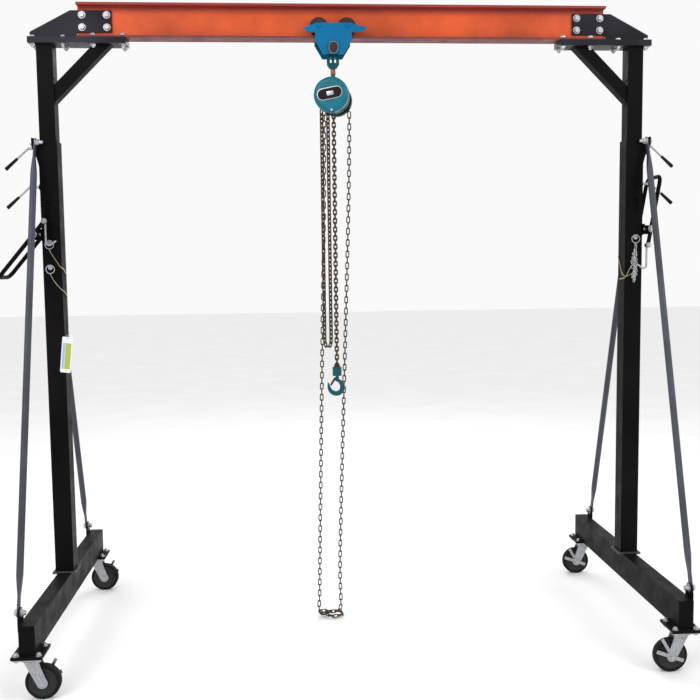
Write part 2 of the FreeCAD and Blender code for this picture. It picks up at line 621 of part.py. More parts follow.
def hook():
    """Point hook: shank, swelling bowl and tip, lying in the XZ plane."""
    x = TROLLEY_X
    collar = HOOK_BLOCK_TOP - 23.5
    shank = rod(V(x, 0, collar + 8), V(x, 0, hook_centre().z + 38), 7.0)
    shank = shank.fuse(rod(V(x, 0, collar), V(x, 0, collar + 8), 11.5))
    profiles = []
    for degrees, reach, radius in HOOK_STATIONS:
        a = math.radians(degrees)
        out, along = V(math.cos(a), 0, math.sin(a)), V(-math.sin(a), 0, math.cos(a))
        profiles.append(Part.Wire(Part.Circle(hook_centre() + out * reach, along, radius).toShape()))
    bowl = Part.makeLoft(profiles, True)
    neck = rod(V(x, 0, hook_centre().z + 31), V(x, 0, hook_centre().z + 46), 8.0)
    lugs = rod(latch_pivot() - Y * 7.5, latch_pivot() + Y * 7.5, 4.0)
    lugs = lugs.cut(rod(latch_pivot() - Y * 9, latch_pivot() + Y * 9, 1.5 + PIVOT_FIT))
    return shank.fuse(neck).fuse(bowl).fuse(lugs).removeSplitter()


def latch_pivot():
    return hook_centre() + V(-8, 0, 38)


def hook_latch():
    """Spring latch: two cheeks beside the hook's lug, joined by a bent tongue."""
    pivot = latch_pivot()
    tip = pivot + V(-17, 0, -27)
    along = (tip - pivot).normalize()
    side = Y.cross(along)
    cheek = slab([pivot - along * 5 - side * 4 + Y * 8, pivot - along * 5 + side * 4 + Y * 8,
                  tip + side * 3 + Y * 8, tip - side * 3 + Y * 8], Y * 2)
    other = cheek.mirror(ORIGIN, Y)
    tongue = slab([pivot + along * 9 - side * 3 - Y * 10, pivot + along * 9 - side * 1 - Y * 10,
                   tip - side * 1 - Y * 10, tip - side * 3 - Y * 10], Y * 20)
    pin = rod(pivot - Y * 10, pivot + Y * 10, 1.5)
    return cheek.multiFuse([other, tongue, pin]).removeSplitter()


# ---- lanyards and tag ---------------------------------------------------------------
def strand(points):
    """Thin bar through a few points, with a small knot where it turns."""
    knot = LANYARD_RADIUS + SEAT_GAP / 2
    body = Part.makeSphere(knot, points[0])
    for a, b in zip(points, points[1:]):
        body = body.fuse(rod(a, b, LANYARD_RADIUS)).fuse(Part.makeSphere(knot, b))
    return body.removeSplitter()


def ring_bottom(z):
    drop = RING_DROP + RING_RADIUS + RING_WIRE + LANYARD_RADIUS + SEAT_GAP
    return V(pin_x(), -HALF_COLUMN - 5.5, z - drop)


def wall_point(y, z):
    """Point a strand's radius off the column's inboard face."""
    return V(HALF - HALF_COLUMN - LANYARD_RADIUS - SEAT_GAP, y, z)


def front_point(x, z):
    return V(x, -HALF_COLUMN - LANYARD_RADIUS - 1, z)


def lanyards(side):
    corner = V(HALF - HALF_COLUMN - LANYARD_RADIUS - 1, -HALF_COLUMN - LANYARD_RADIUS - 1, 0)
    if side < 0:
        routes = []
        for z, drop, end_drop in ((PIN_HEIGHTS[0], 100, 134), (PIN_HEIGHTS[1], 92, 124)):
            routes.append([ring_bottom(z), front_point(HALF - 10, z - 62), corner + V(0, 0, z - drop),
                           wall_point(30, z - end_drop)])
        return [strand(r) for r in routes]
    z = PIN_HEIGHTS[0]
    bunch_top = ring_bottom(z) - V(0, 0, BUNCH_RADIUS - LANYARD_RADIUS)
    bunch = rod(bunch_top, bunch_top - V(0, 0, BUNCH_LENGTH), BUNCH_RADIUS)
    upper = strand([wall_point(30, z - 172), corner + V(0, 0, z - 166), front_point(HALF - 15, z - 148),
                    V(bunch_top.x - BUNCH_RADIUS - 3, bunch_top.y, z - 134)])
    lower = strand([wall_point(30, z - 110), corner + V(0, 0, z - 112), front_point(HALF - 14, z - 108),
                    V(bunch_top.x - BUNCH_RADIUS - 3, bunch_top.y, z - 92)])
    return [bunch, upper, lower]


def hang_tag():
    """Card tag hanging in front of the left column's inboard corner."""
    w, t, h = TAG
    x = HALF - HALF_COLUMN + TAG_OUT
    y = -HALF_COLUMN - SEAT_GAP
    z = PIN_HEIGHTS[1] - TAG_DROP
    return box(x - w, x, y - t, y, z - h, z)


def build():
    os.makedirs("parts", exist_ok=True)
    for name, side in (("left", -1), ("right", 1)):
        put = lambda node, shapes: save("%s_%s" % (name, node), [to_side(s, side) for s in shapes])
        put("foot_beam", [foot_beam()])
        put("base_plate", [base_plate()])
        put("column", [lower_column()])
        put("struts", front_and_rear(strut()))
        put("brackets", [strut_bracket(), lever_bracket(), foot_lug(-1), foot_lug(1)])
        ends = (-CASTER_Y, CASTER_Y)
        put("mount_plates", [plate_under_foot(MOUNT_PLATE, y, FOOT_Z) for y in ends])
        put("caster_plates", [plate_under_foot(CASTER_PLATE, y, CASTER_HEIGHT) for y in ends])
        put("pins", [locking_pin(z) for z in (PIN_HEIGHTS if side < 0 else PIN_HEIGHTS[:1])])
        put("lanyards", lanyards(side))
        angle = LEVER_DOWN if side < 0 else LEVER_UP
        put("lift_lever", [lever(angle)])
        put("lift_hook", [lift_hook(angle)])
        put("clamp_upper", [clamp_screw(CLAMP_HEIGHTS[0])])
        put("clamp_lower", [clamp_screw(CLAMP_HEIGHTS[1])])
        put("upper_column", [upper_column()])
        for place, (fork, brake, wheel) in casters(side).items():
            save("%s_%s_fork" % (name, place), [fork, brake])
            save("%s_%s_wheel" % (name, place), [wheel])
    save("main_beam", [main_beam()])
    save("knee_braces", [to_side(knee_brace(), s) for s in (-1, 1)])
    save("corner_plates", [to_side(p, s) for p in corner_plates() for s in (-1, 1)])
    save("gussets", [to_side(gusset(f), s) for f in (True, False) for s in (-1, 1)])
    plate = trolley_plate()
    plates = []
    for s, shape in ((-1, plate), (1, plate.mirror(ORIGIN, Y))):
        for dx in (-TROLLEY_WHEEL_X, TROLLEY_WHEEL_X):
            shape = shape.fuse(wheel_axle(dx, s))
        plates.append(shape.removeSplitter())
    save("trolley_plates", plates)
    for place, s in (("front", -1), ("rear", 1)):
        save("trolley_wheel_%s_left" % place, [trolley_wheel(-TROLLEY_WHEEL_X, s)])
        save("trolley_wheel_%s_right" % place, [trolley_wheel(TROLLEY_WHEEL_X, s)])
    save("trolley_spindle", [spindle()])
    save("hoist_hanger", [hanger()])
    save("hoist_frame", [hoist_frame()])
    save("gear_cover", [gear_cover()])
    save("hand_wheel_cover", [hand_wheel_cover()])
    save("load_chain", load_chain())
    save("hand_chain", [hand_chain()])
    save("hook_block", [hook_block()])
    save("hook", [hook()])
    save("hook_latch", [hook_latch()])
    save("hang_tag", [to_side(hang_tag(), -1)])


build()
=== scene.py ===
"""Finishes of a travelling gantry crane, built round its construction model.

Adds the paint, rubber and zinc finishes, the bolts, welds, wheels, chain links, grips and
small fittings, and a plain studio. Metres, +Z up, floor at Z = 0, origin midway between the legs.
"""

import math
import random

import bpy
from bpy.props import FloatProperty, FloatVectorProperty, IntProperty, PointerProperty
from mathutils import Matrix, Vector


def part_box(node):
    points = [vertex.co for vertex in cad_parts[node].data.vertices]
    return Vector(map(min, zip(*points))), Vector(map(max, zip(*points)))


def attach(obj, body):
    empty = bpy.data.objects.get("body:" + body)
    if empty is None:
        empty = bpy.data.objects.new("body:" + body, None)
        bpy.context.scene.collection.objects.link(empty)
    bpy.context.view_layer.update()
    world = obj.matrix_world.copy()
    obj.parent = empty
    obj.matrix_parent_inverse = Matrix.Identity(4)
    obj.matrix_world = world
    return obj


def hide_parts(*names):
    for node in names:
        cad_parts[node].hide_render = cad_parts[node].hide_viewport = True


bl_info = {
    "name": "Gantry Crane Finishes",
    "version": (1, 0, 0),
    "blender": (4, 5, 0),
    "location": "View3D > Sidebar > Crane",
    "description": "Finishes and small fittings of a travelling gantry crane",
    "category": "Object",
}

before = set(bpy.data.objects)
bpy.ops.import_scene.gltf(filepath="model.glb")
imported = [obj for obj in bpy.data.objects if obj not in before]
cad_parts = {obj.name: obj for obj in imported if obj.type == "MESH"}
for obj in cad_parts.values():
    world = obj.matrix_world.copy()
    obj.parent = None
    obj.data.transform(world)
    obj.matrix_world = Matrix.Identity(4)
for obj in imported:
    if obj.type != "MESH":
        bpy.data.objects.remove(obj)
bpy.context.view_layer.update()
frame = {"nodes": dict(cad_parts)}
NODES = frame["nodes"]
SIDES = (("left", -1), ("right", 1))
X, Y, Z = Vector((1, 0, 0)), Vector((0, 1, 0)), Vector((0, 0, 1))


def middle(node):
    low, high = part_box(node)
    return (low + high) / 2


LEG_X = middle("right_column").x
COLUMN_HALF = (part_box("right_column")[1].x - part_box("right_column")[0].x) / 2
COLUMN_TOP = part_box("right_column")[1].z
LEG_FACE = LEG_X + COLUMN_HALF
FOOT_LOW, FOOT_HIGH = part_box("right_foot_beam")
LUG_Y = FOOT_HIGH.y - 0.046
BEAM_LOW, BEAM_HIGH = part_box("main_beam")
PLATE_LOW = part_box("corner_plates")[0]
MOUNT_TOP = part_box("right_mount_plates")[1].z
HOIST_AXIS = Vector((middle("trolley_spindle").x, 0, 0))
HOIST_TURN = Matrix.Translation(HOIST_AXIS) @ Matrix.Rotation(math.radians(-12), 4, "Z")
HOIST_Z = middle("gear_cover").z
HOIST_RADIUS = HOIST_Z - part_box("gear_cover")[0].z
HAND_COVER_RADIUS = (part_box("hand_wheel_cover")[1].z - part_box("hand_wheel_cover")[0].z) / 2
LEVER_PIVOT = Vector((LEG_X + 0.062, 0, COLUMN_TOP - 0.376))
LEVER_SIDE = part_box("right_lift_lever")[1].y


# ---- shaping helpers ----------------------------------------------------------------
def deselect():
    if bpy.context.object and bpy.context.object.mode == "EDIT":
        bpy.ops.object.mode_set(mode="OBJECT")
    bpy.ops.object.select_all(action="DESELECT")


def round_blank(radius, depth, sides, centre=(0, 0, 0)):
    """A round or many-sided blank along Z, left in object mode."""
    deselect()
    bpy.ops.mesh.primitive_cylinder_add(vertices=sides, radius=radius, depth=depth, location=centre)
    bpy.ops.object.transform_apply(location=True, rotation=True, scale=True)
    return bpy.context.object


def block_blank(size, centre=(0, 0, 0)):
    """A rectangular blank, left in object mode."""
    deselect()
    bpy.ops.mesh.primitive_cube_add(size=1, location=centre)
    piece = bpy.context.object
    piece.scale = size
    bpy.ops.object.transform_apply(location=True, rotation=True, scale=True)
    return piece


def work_on(piece, kind, wanted):
    """Enter edit mode on a piece with only the wanted faces, edges or points selected."""
    bpy.context.view_layer.objects.active = piece
    piece.select_set(True)
    bpy.ops.object.mode_set(mode="EDIT")
    bpy.ops.mesh.select_mode(type=kind)
    bpy.ops.mesh.select_all(action="DESELECT")
    bpy.ops.object.mode_set(mode="OBJECT")
    mesh = piece.data
    if kind == "FACE":
        for face in mesh.polygons:
            face.select = wanted(face)
    elif kind == "EDGE":
        for edge in mesh.edges:
            edge.select = wanted(*[mesh.vertices[i].co for i in edge.vertices])
    else:
        for point in mesh.vertices:
            point.select = wanted(point.co)
    bpy.ops.object.mode_set(mode="EDIT")


def done(angle=35):
    """Leave edit mode and shade smooth below an angle."""
    bpy.ops.object.mode_set(mode="OBJECT")
    bpy.ops.object.shade_smooth_by_angle(angle=math.radians(angle))
    return bpy.context.object


def facing(axis, sign):
    """Picks the faces that look along an axis."""
    return lambda face: face.normal.dot(axis) * sign > 0.9


def flat_edge(a, b):
    """An edge that lies level, such as the rim of a disc along Z."""
    return abs(a.z - b.z) < 1e-6


def top_edge(height):
    """Picks the edges round a blank's top."""
    return lambda a, b: min(a.z, b.z) > height - 1e-5


def round_over(piece, width, wanted, segments=2):
    """Bevel the wanted edges of a piece."""
    work_on(piece, "EDGE", wanted)
    bpy.ops.mesh.bevel(offset=width, segments=segments, affect="EDGES")
    done()
    return piece


def join(pieces, name):
    deselect()
    for piece in pieces:
        piece.select_set(True)
    bpy.context.view_layer.objects.active = pieces[0]
    if len(pieces) > 1:
        bpy.ops.object.join()
    pieces[0].name = name
    pieces[0].data.name = name
    return pieces[0]


def copies(master, name, places, keep=False):
    """Copies of one modelled piece at each place, each its own mesh, joined under one name."""
    made = []
    for place in places:
        copy = master.copy()
        copy.data = master.data.copy()
        copy.data.transform(place)
        bpy.context.collection.objects.link(copy)
        made.append(copy)
    if not keep:
        bpy.data.objects.remove(master)
    return join(made, name)


def at(point, direction=Z, roll=0.0, scale=1.0):
    """Place a piece's Z along a direction at a point."""
    turn = Vector(direction).to_track_quat("Z", "Y").to_matrix().to_4x4()
    return Matrix.Translation(Vector(point)) @ turn @ Matrix.Rotation(roll, 4, "Z") @ Matrix.Scale(scale, 4)


def finish_piece(piece, body, slot, *materials):
    """Give a piece its finishes and the body it moves with; the slot argument is not used."""
    for material in materials:
        piece.data.materials.append(material)
    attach(piece, body)
    return piece


# ---- finishes -----------------------------------------------------------------------
class Finish:
    """Builds one node material step by step."""

    def __init__(self, name):
        self.material = bpy.data.materials.new(name)
        self.material.use_nodes = True
        self.nodes = self.material.node_tree.nodes
        self.links = self.material.node_tree.links
        self.shader = self.nodes["Principled BSDF"]
        self.place = self.nodes.new("ShaderNodeTexCoord")

    def noise(self, scale, detail=4.0, rough=0.55, stretch=None):
        node = self.nodes.new("ShaderNodeTexNoise")
        node.inputs["Scale"].default_value = scale
        node.inputs["Detail"].default_value = detail
        node.inputs["Roughness"].default_value = rough
        source = self.place.outputs["Object"]
        if stretch:
            mapping = self.nodes.new("ShaderNodeMapping")
            mapping.inputs["Scale"].default_value = stretch
            self.links.new(source, mapping.inputs["Vector"])
            source = mapping.outputs["Vector"]
        self.links.new(source, node.inputs["Vector"])
        return node.outputs["Fac"]

    def range(self, value, low, high, to_low=0.0, to_high=1.0):
        node = self.nodes.new("ShaderNodeMapRange")
        for key, number in (("From Min", low), ("From Max", high), ("To Min", to_low), ("To Max", to_high)):
            node.inputs[key].default_value = number
        self.links.new(value, node.inputs["Value"])
        return node.outputs["Result"]

    def multiply(self, a, b):
        node = self.nodes.new("ShaderNodeMath")
        node.operation = "MULTIPLY"
        self.links.new(a, node.inputs[0])
        self.links.new(b, node.inputs[1])
        return node.outputs["Value"]

    def part_of(self, output, axis):
        node = self.nodes.new("ShaderNodeSeparateXYZ")
        self.links.new(self.place.outputs[output], node.inputs["Vector"])
        return node.outputs[axis]

    def blend(self, share, first, second):
        """Mix two colours, each a tuple or a node's output."""
        node = self.nodes.new("ShaderNodeMix")
        node.data_type = "RGBA"
        self.links.new(share, node.inputs["Factor"])
        for key, colour in (("A", first), ("B", second)):
            socket = [s for s in node.inputs if s.name == key and s.type == "RGBA"][0]
            if isinstance(colour, tuple):
                socket.default_value = (*colour, 1.0)
            else:
                self.links.new(colour, socket)
        return [s for s in node.outputs if s.type == "RGBA"][0]

    def colour(self, value):
        self.links.new(value, self.shader.inputs["Base Color"])

    def roughness(self, value):
        self.links.new(value, self.shader.inputs["Roughness"])

    def bump(self, value, strength, distance=0.001):
        node = self.nodes.new("ShaderNodeBump")
        node.inputs["Strength"].default_value = strength
        node.inputs["Distance"].default_value = distance
        self.links.new(value, node.inputs["Height"])
        before = self.shader.inputs["Normal"].links
        if before:
            self.links.new(before[0].from_socket, node.inputs["Normal"])
        self.links.new(node.outputs["Normal"], self.shader.inputs["Normal"])


def paint(name, colour, worn, rough=0.32, peel=0.25, dust=(0.35, 0.31, 0.27), dust_amount=0.35, sheen=0.5):
    """Sprayed paint: slow tone changes, fine orange peel, small chips and dust on upward faces."""
    finish = Finish(name)
    tone = finish.blend(finish.range(finish.noise(3.5, 5), 0.40, 0.66), colour, worn)
    up = finish.range(finish.part_of("Normal", "Z"), 0.55, 0.95, 0.0, dust_amount)
    dusty = finish.multiply(up, finish.range(finish.noise(9, 6), 0.35, 0.7))
    tone = finish.blend(dusty, tone, dust)
    chips = finish.range(finish.noise(130, 3, 0.7), 0.735, 0.76, 0.0, 0.5)
    finish.colour(finish.blend(chips, tone, worn))
    finish.roughness(finish.range(finish.noise(14, 5), 0.3, 0.75, rough - 0.07, rough + 0.16))
    finish.bump(finish.noise(420, 2), peel, 0.0004)
    finish.bump(finish.noise(26, 3), 0.10, 0.0008)
    finish.shader.inputs["Specular IOR Level"].default_value = sheen
    return finish.material


def zinc(name, colour, rough=0.34):
    """Zinc plate: soft crystal patches, fine scratches and duller spots."""
    finish = Finish(name)
    cells = finish.nodes.new("ShaderNodeTexVoronoi")
    cells.inputs["Scale"].default_value = 140
    finish.links.new(finish.place.outputs["Object"], cells.inputs["Vector"])
    patch = finish.range(cells.outputs["Distance"], 0.0, 0.9)
    dull = tuple(c * 0.68 for c in colour)
    tone = finish.blend(patch, colour, dull)
    stain = finish.range(finish.noise(35, 5), 0.52, 0.74, 0.0, 0.6)
    finish.colour(finish.blend(stain, tone, (0.42, 0.37, 0.30)))
    finish.roughness(finish.range(finish.noise(70, 4), 0.3, 0.7, rough - 0.10, rough + 0.16))
    finish.bump(finish.noise(300, 2, 0.5, (1, 1, 8)), 0.12, 0.0003)
    finish.shader.inputs["Metallic"].default_value = 0.9
    return finish.material


def bare_metal(name, colour, worn, rough=0.42, metallic=0.85):
    """Oiled steel with brown patches."""
    finish = Finish(name)
    patches = finish.range(finish.noise(55, 6, 0.65), 0.38, 0.68)
    finish.colour(finish.blend(patches, colour, worn))
    finish.roughness(finish.range(finish.noise(90, 4), 0.3, 0.7, rough - 0.1, rough + 0.2))
    finish.bump(finish.noise(240, 4), 0.3, 0.0005)
    finish.shader.inputs["Metallic"].default_value = metallic
    return finish.material


def rubber(name, colour):
    """Moulded rubber: matt, slightly greyed where it rolls."""
    finish = Finish(name)
    grey = tuple(c * 2.4 for c in colour)
    finish.colour(finish.blend(finish.range(finish.noise(22, 6), 0.42, 0.72, 0.0, 0.7), colour, grey))
    finish.roughness(finish.range(finish.noise(60, 4), 0.3, 0.7, 0.52, 0.78))
    finish.bump(finish.noise(500, 3), 0.35, 0.0004)
    finish.shader.inputs["Specular IOR Level"].default_value = 0.12
    return finish.material


def beam_paint(name, colour, worn):
    """The beam's bright paint, darker red-brown along its bottom flange's edge and darkened dark red towards the top
    as painted shade.
    """
    material = paint(name, colour, worn, rough=0.42, dust_amount=0.25, sheen=0.25)
    finish = Finish.__new__(Finish)
    finish.material = material
    finish.nodes, finish.links = material.node_tree.nodes, material.node_tree.links
    finish.shader = finish.nodes["Principled BSDF"]
    finish.place = finish.nodes["Texture Coordinate"]
    # Darker red-brown along the bottom flange's edge, made patchy by noise.
    low = finish.range(finish.part_of("Object", "Z"), BEAM_LOW.z + 0.0085, BEAM_LOW.z + 0.0110, 0.92, 0.0)
    low_edge_darkening = finish.multiply(low, finish.range(finish.noise(18, 5), 0.2, 0.6, 0.75, 1.0))
    before = finish.shader.inputs["Base Color"].links[0].from_socket
    tone = finish.blend(low_edge_darkening, before, (0.095, 0.030, 0.040))
    # Painted shade: the web and flange are darkened dark red towards the top, standing in for the shade under the top
    # flange.
    top_painted_shade = finish.range(finish.part_of("Object", "Z"), BEAM_HIGH.z - 0.040, BEAM_HIGH.z - 0.006, 0.0, 0.85)
    finish.colour(finish.blend(top_painted_shade, tone, (0.20, 0.026, 0.032)))
    return material


MATERIALS = {}


def colour_setting(name, description, default):
    return FloatVectorProperty(name=name, description=description, subtype="COLOR", size=3,
                               default=default, min=0, max=1)


def length_setting(name, description, default, least):
    return FloatProperty(name=name, description=description, default=default, min=least, unit="LENGTH")


class CraneFinishes(bpy.types.PropertyGroup):
    """Colours of the crane's finishes."""
    beam: colour_setting("Beam", "Paint of the main beam", (0.66, 0.093, 0.022))
    frame: colour_setting("Frame", "Paint of feet, columns and braces", (0.0030, 0.0030, 0.0036))
    strut: colour_setting("Struts", "Paint of the round struts", (0.050, 0.056, 0.074))
    trolley: colour_setting("Trolley", "Paint of the trolley's plates", (0.0, 0.145, 0.32))
    hoist: colour_setting("Hoist", "Paint of the hoist's cover", (0.0, 0.155, 0.22))
    hook: colour_setting("Hook", "Paint of the hook and hanger", (0.0, 0.105, 0.135))
    zinc: colour_setting("Zinc", "Plated casters, bolts and pins", (0.44, 0.46, 0.49))
    chain: colour_setting("Chain", "Oiled load and hand chains", (0.105, 0.072, 0.046))
    rubber: colour_setting("Rubber", "Caster tyres and grips", (0.0055, 0.0055, 0.0065))


class CraneSizes(bpy.types.PropertyGroup):
    """Sizes of the crane's small fittings."""
    bolt_radius: length_setting("Bolt Head", "Corner radius of the corner bolts' heads", 0.0108, 0.005)
    caster_bolt: length_setting("Caster Bolt", "Corner radius of the caster bolts' heads", 0.0090, 0.004)
    load_pitch: length_setting("Load Chain Pitch", "Inner length of a load chain link", 0.018, 0.01)
    load_wire: length_setting("Load Chain Wire", "Wire of the load chain", 0.0064, 0.002)
    hand_pitch: length_setting("Hand Chain Pitch", "Inner length of a hand chain link", 0.0245, 0.01)
    hand_wire: length_setting("Hand Chain Wire", "Wire of the hand chain", 0.0050, 0.002)
    bead: length_setting("Lanyard Bead", "Radius of the beads in the pins' lanyards", 0.0026, 0.001)
    grip_ribs: IntProperty(name="Grip Ribs", description="Ribs on each clamp grip", default=12, min=3)
    weld: length_setting("Weld Bead", "Radius of the weld beads", 0.0036, 0.001)


def colours():
    return bpy.context.scene.crane_finishes


def sizes():
    return bpy.context.scene.crane_sizes


def printed(name, colour, worn, rough=0.45):
    """Smooth printed card, free of dust."""
    return paint(name, colour, worn, rough, 0.1, dust_amount=0.0)


class CRANE_OT_finishes(bpy.types.Operator):
    """Mix the finishes and paint every construction piece"""
    bl_idname = "crane.finishes"
    bl_label = "Paint the Frame"

    def execute(self, context):
        self.mix({key: tuple(getattr(colours(), key)) for key in colours().__annotations__}, MATERIALS)
        for node, piece in NODES.items():
            piece.data.materials.clear()
            piece.data.materials.append(MATERIALS[self.finish_of(node)])
        return {"FINISHED"}

    def mix(self, c, m):
        m["beam"] = beam_paint("beam paint", c["beam"], tuple(0.62 * v for v in c["beam"]))
        m["frame"] = paint("frame paint", c["frame"], (0.0060, 0.0050, 0.0050), 0.40, 0.3,
                           (0.030, 0.026, 0.024), 0.35, 0.04)
        # Painted reflection: the base plate is lightened to grey overall, standing in for light reflected off its
        # front edge.
        m["painted_reflection_plate"] = paint("sawn plate", (0.060, 0.061, 0.074), (0.030, 0.030, 0.036), 0.45, 0.3,
                                (0.09, 0.08, 0.075), 0.4, 0.2)
        # Near-black paint whose lilac-grey worn patches and dust are partly wear and dust and partly a painted sheen
        # on the gussets and plate edges.
        m["corner"] = paint("corner paint", (0.007, 0.007, 0.010), (0.026, 0.023, 0.034), 0.36, 0.3,
                            (0.10, 0.095, 0.095), 0.5, 0.12)
        m["strut"] = paint("strut paint", c["strut"], (0.030, 0.033, 0.042), 0.40, 0.2,
                           dust_amount=0.15, sheen=0.3)
        m["trolley"] = paint("trolley paint", c["trolley"], (0.0, 0.095, 0.21), 0.34, 0.15,
                             dust_amount=0.1, sheen=0.14)
        m["hoist"] = paint("hoist paint", c["hoist"], (0.0, 0.11, 0.15), 0.24, 0.15, dust_amount=0.1, sheen=0.22)
        m["hook"] = paint("hook paint", c["hook"], (0.0, 0.055, 0.07), 0.32, 0.25, dust_amount=0.1, sheen=0.2)
        # Painted shade: near-black teal stands in for the shadow on the hand wheel cover and the cover rims; the hoist
        # frame shares this colour.
        m["shade"] = paint("dark teal paint", (0.002, 0.020, 0.028), (0.002, 0.012, 0.016), 0.34, 0.2,
                           dust_amount=0.1, sheen=0.1)
        m["zinc"] = zinc("zinc plate", c["zinc"], 0.45)
        m["bright"] = zinc("bright zinc", (0.52, 0.54, 0.58), 0.30)
        m["chain"] = bare_metal("oiled chain", c["chain"], (0.045, 0.030, 0.020))
        m["iron"] = bare_metal("dark iron", (0.012, 0.010, 0.011), (0.030, 0.016, 0.012), 0.5, 0.3)
        m["hub"] = bare_metal("wheel hub", (0.006, 0.006, 0.007), (0.012, 0.010, 0.010), 0.6, 0.0)
        m["axle"] = bare_metal("axle collar", (0.25, 0.22, 0.27), (0.12, 0.09, 0.10), 0.42, 0.6)
        m["copper"] = bare_metal("brown collar", (0.36, 0.14, 0.08), (0.22, 0.09, 0.05), 0.38)
        m["lanyard"] = bare_metal("lanyard beads", (0.50, 0.43, 0.33), (0.30, 0.24, 0.17), 0.4)
        m["rubber"] = rubber("wheel rubber", c["rubber"])
        m["plate"] = paint("name plate field", (0.010, 0.005, 0.008), (0.014, 0.009, 0.011), 0.3, 0.1,
                           dust_amount=0.0, sheen=0.08)
        m["card"] = printed("card", (0.82, 0.84, 0.86), (0.70, 0.73, 0.78), 0.5)
        m["panel"] = printed("card panel", (0.42, 0.50, 0.07), (0.36, 0.44, 0.06))
        m["stripe"] = printed("card stripe", (0.36, 0.48, 0.72), (0.30, 0.42, 0.66))

    def finish_of(self, node):
        """The finish of a construction piece: by its name, or else by how its name ends."""
        names = {"main_beam": "beam", "trolley_plates": "trolley", "trolley_spindle": "iron",
                 "hook_latch": "iron", "hoist_frame": "shade", "hand_wheel_cover": "shade",
                 "gear_cover": "hoist", "corner_plates": "corner", "gussets": "corner", "hook": "hook",
                 "hook_block": "hook", "hoist_hanger": "hook", "hang_tag": "card"}
        endings = {"struts": "strut", "base_plate": "painted_reflection_plate", "chain": "chain", "lanyards": "lanyard",
                   "wheel": "rubber", "_fork": "zinc", "caster_plates": "zinc", "pins": "zinc",
                   "lift_hook": "zinc", "clamp_upper": "zinc", "clamp_lower": "zinc"}
        if node in names:
            return names[node]
        if node.startswith("trolley_wheel"):
            return "iron"
        return next((finish for ending, finish in endings.items() if node.endswith(ending)), "frame")


# ---- bolts --------------------------------------------------------------------------
def hex_head(radius, height, washer=1.35):
    """A hexagon head with a chamfered crown, standing on a washer."""
    thick = radius * 0.16
    head = round_blank(radius, height, 6, (0, 0, thick + height / 2))
    round_over(head, radius * 0.12, top_edge(thick + height))
    work_on(head, "FACE", facing(Z, 1))
    bpy.ops.mesh.inset(thickness=radius * 0.10, depth=radius * 0.05)
    done()
    ring = round_blank(radius * washer, thick, 20, (0, 0, thick / 2))
    round_over(ring, thick * 0.35, top_edge(thick), 1)
    return join([head, ring], "hex head")


def nut_with_end(radius, height, reach):
    """A nut on its washer with the bolt's end standing out of it."""
    nut = hex_head(radius, height)
    end = round_blank(radius * 0.55, reach, 16, (0, 0, reach / 2))
    round_over(end, radius * 0.14, top_edge(reach), 1)
    for _ in range(2):
        work_on(end, "FACE", facing(Z, 1))
        bpy.ops.mesh.inset(thickness=radius * 0.12, depth=-radius * 0.02)
        done()
    return join([nut, end], "nut")


def dome_nut(radius, height):
    """An acorn nut: hexagon below, dome above."""
    nut = hex_head(radius, height * 0.45)
    dome = round_blank(radius * 0.80, height * 0.35, 20, (0, 0, height * 0.55))
    for share in (0.10, 0.22, 0.45):
        work_on(dome, "FACE", facing(Z, 1))
        bpy.ops.mesh.inset(thickness=radius * 0.80 * share * 0.75, depth=0)
        bpy.ops.transform.translate(value=(0, 0, height * 0.35 * (0.5 - share)))
        done(60)
    return join([nut, dome], "dome nut")


class CRANE_OT_corner_bolts(bpy.types.Operator):
    """Model the bolts through the corner plates and the web gussets"""
    bl_idname = "crane.corner_bolts"
    bl_label = "Corner Bolts"

    def execute(self, context):
        r = sizes().bolt_radius
        row, flange, web = 0.0265, 0.009, 0.011
        heads, nuts, webs = [], [], []
        for s in (-1, 1):
            for x in (0.9062, 1.0238, 1.1429, 1.2625):
                top = BEAM_LOW.z + (flange if x < BEAM_HIGH.x else 0)
                for y in (-row, row):
                    heads.append(at((s * x, y, top), Z, roll=x * 9 + y * 40))
                    nuts.append(at((s * x, y, PLATE_LOW.z), -Z, roll=x * 5))
            for x in (0.970, 1.069):
                for z in (2.537, 2.586):
                    webs += [at((s * x, y, z), Vector((0, y, 0)), roll=x + z) for y in (-web, web)]
        for name, master, places in (("corner_bolt_heads", hex_head(r, r * 0.65), heads),
                                     ("corner_bolt_nuts", nut_with_end(r, r * 0.8, r * 1.5), nuts),
                                     ("gusset_bolts", hex_head(r * 1.05, r * 0.65), webs)):
            finish_piece(copies(master, name, places), "upper_frame", "zinc", MATERIALS["bright"])
        return {"FINISHED"}


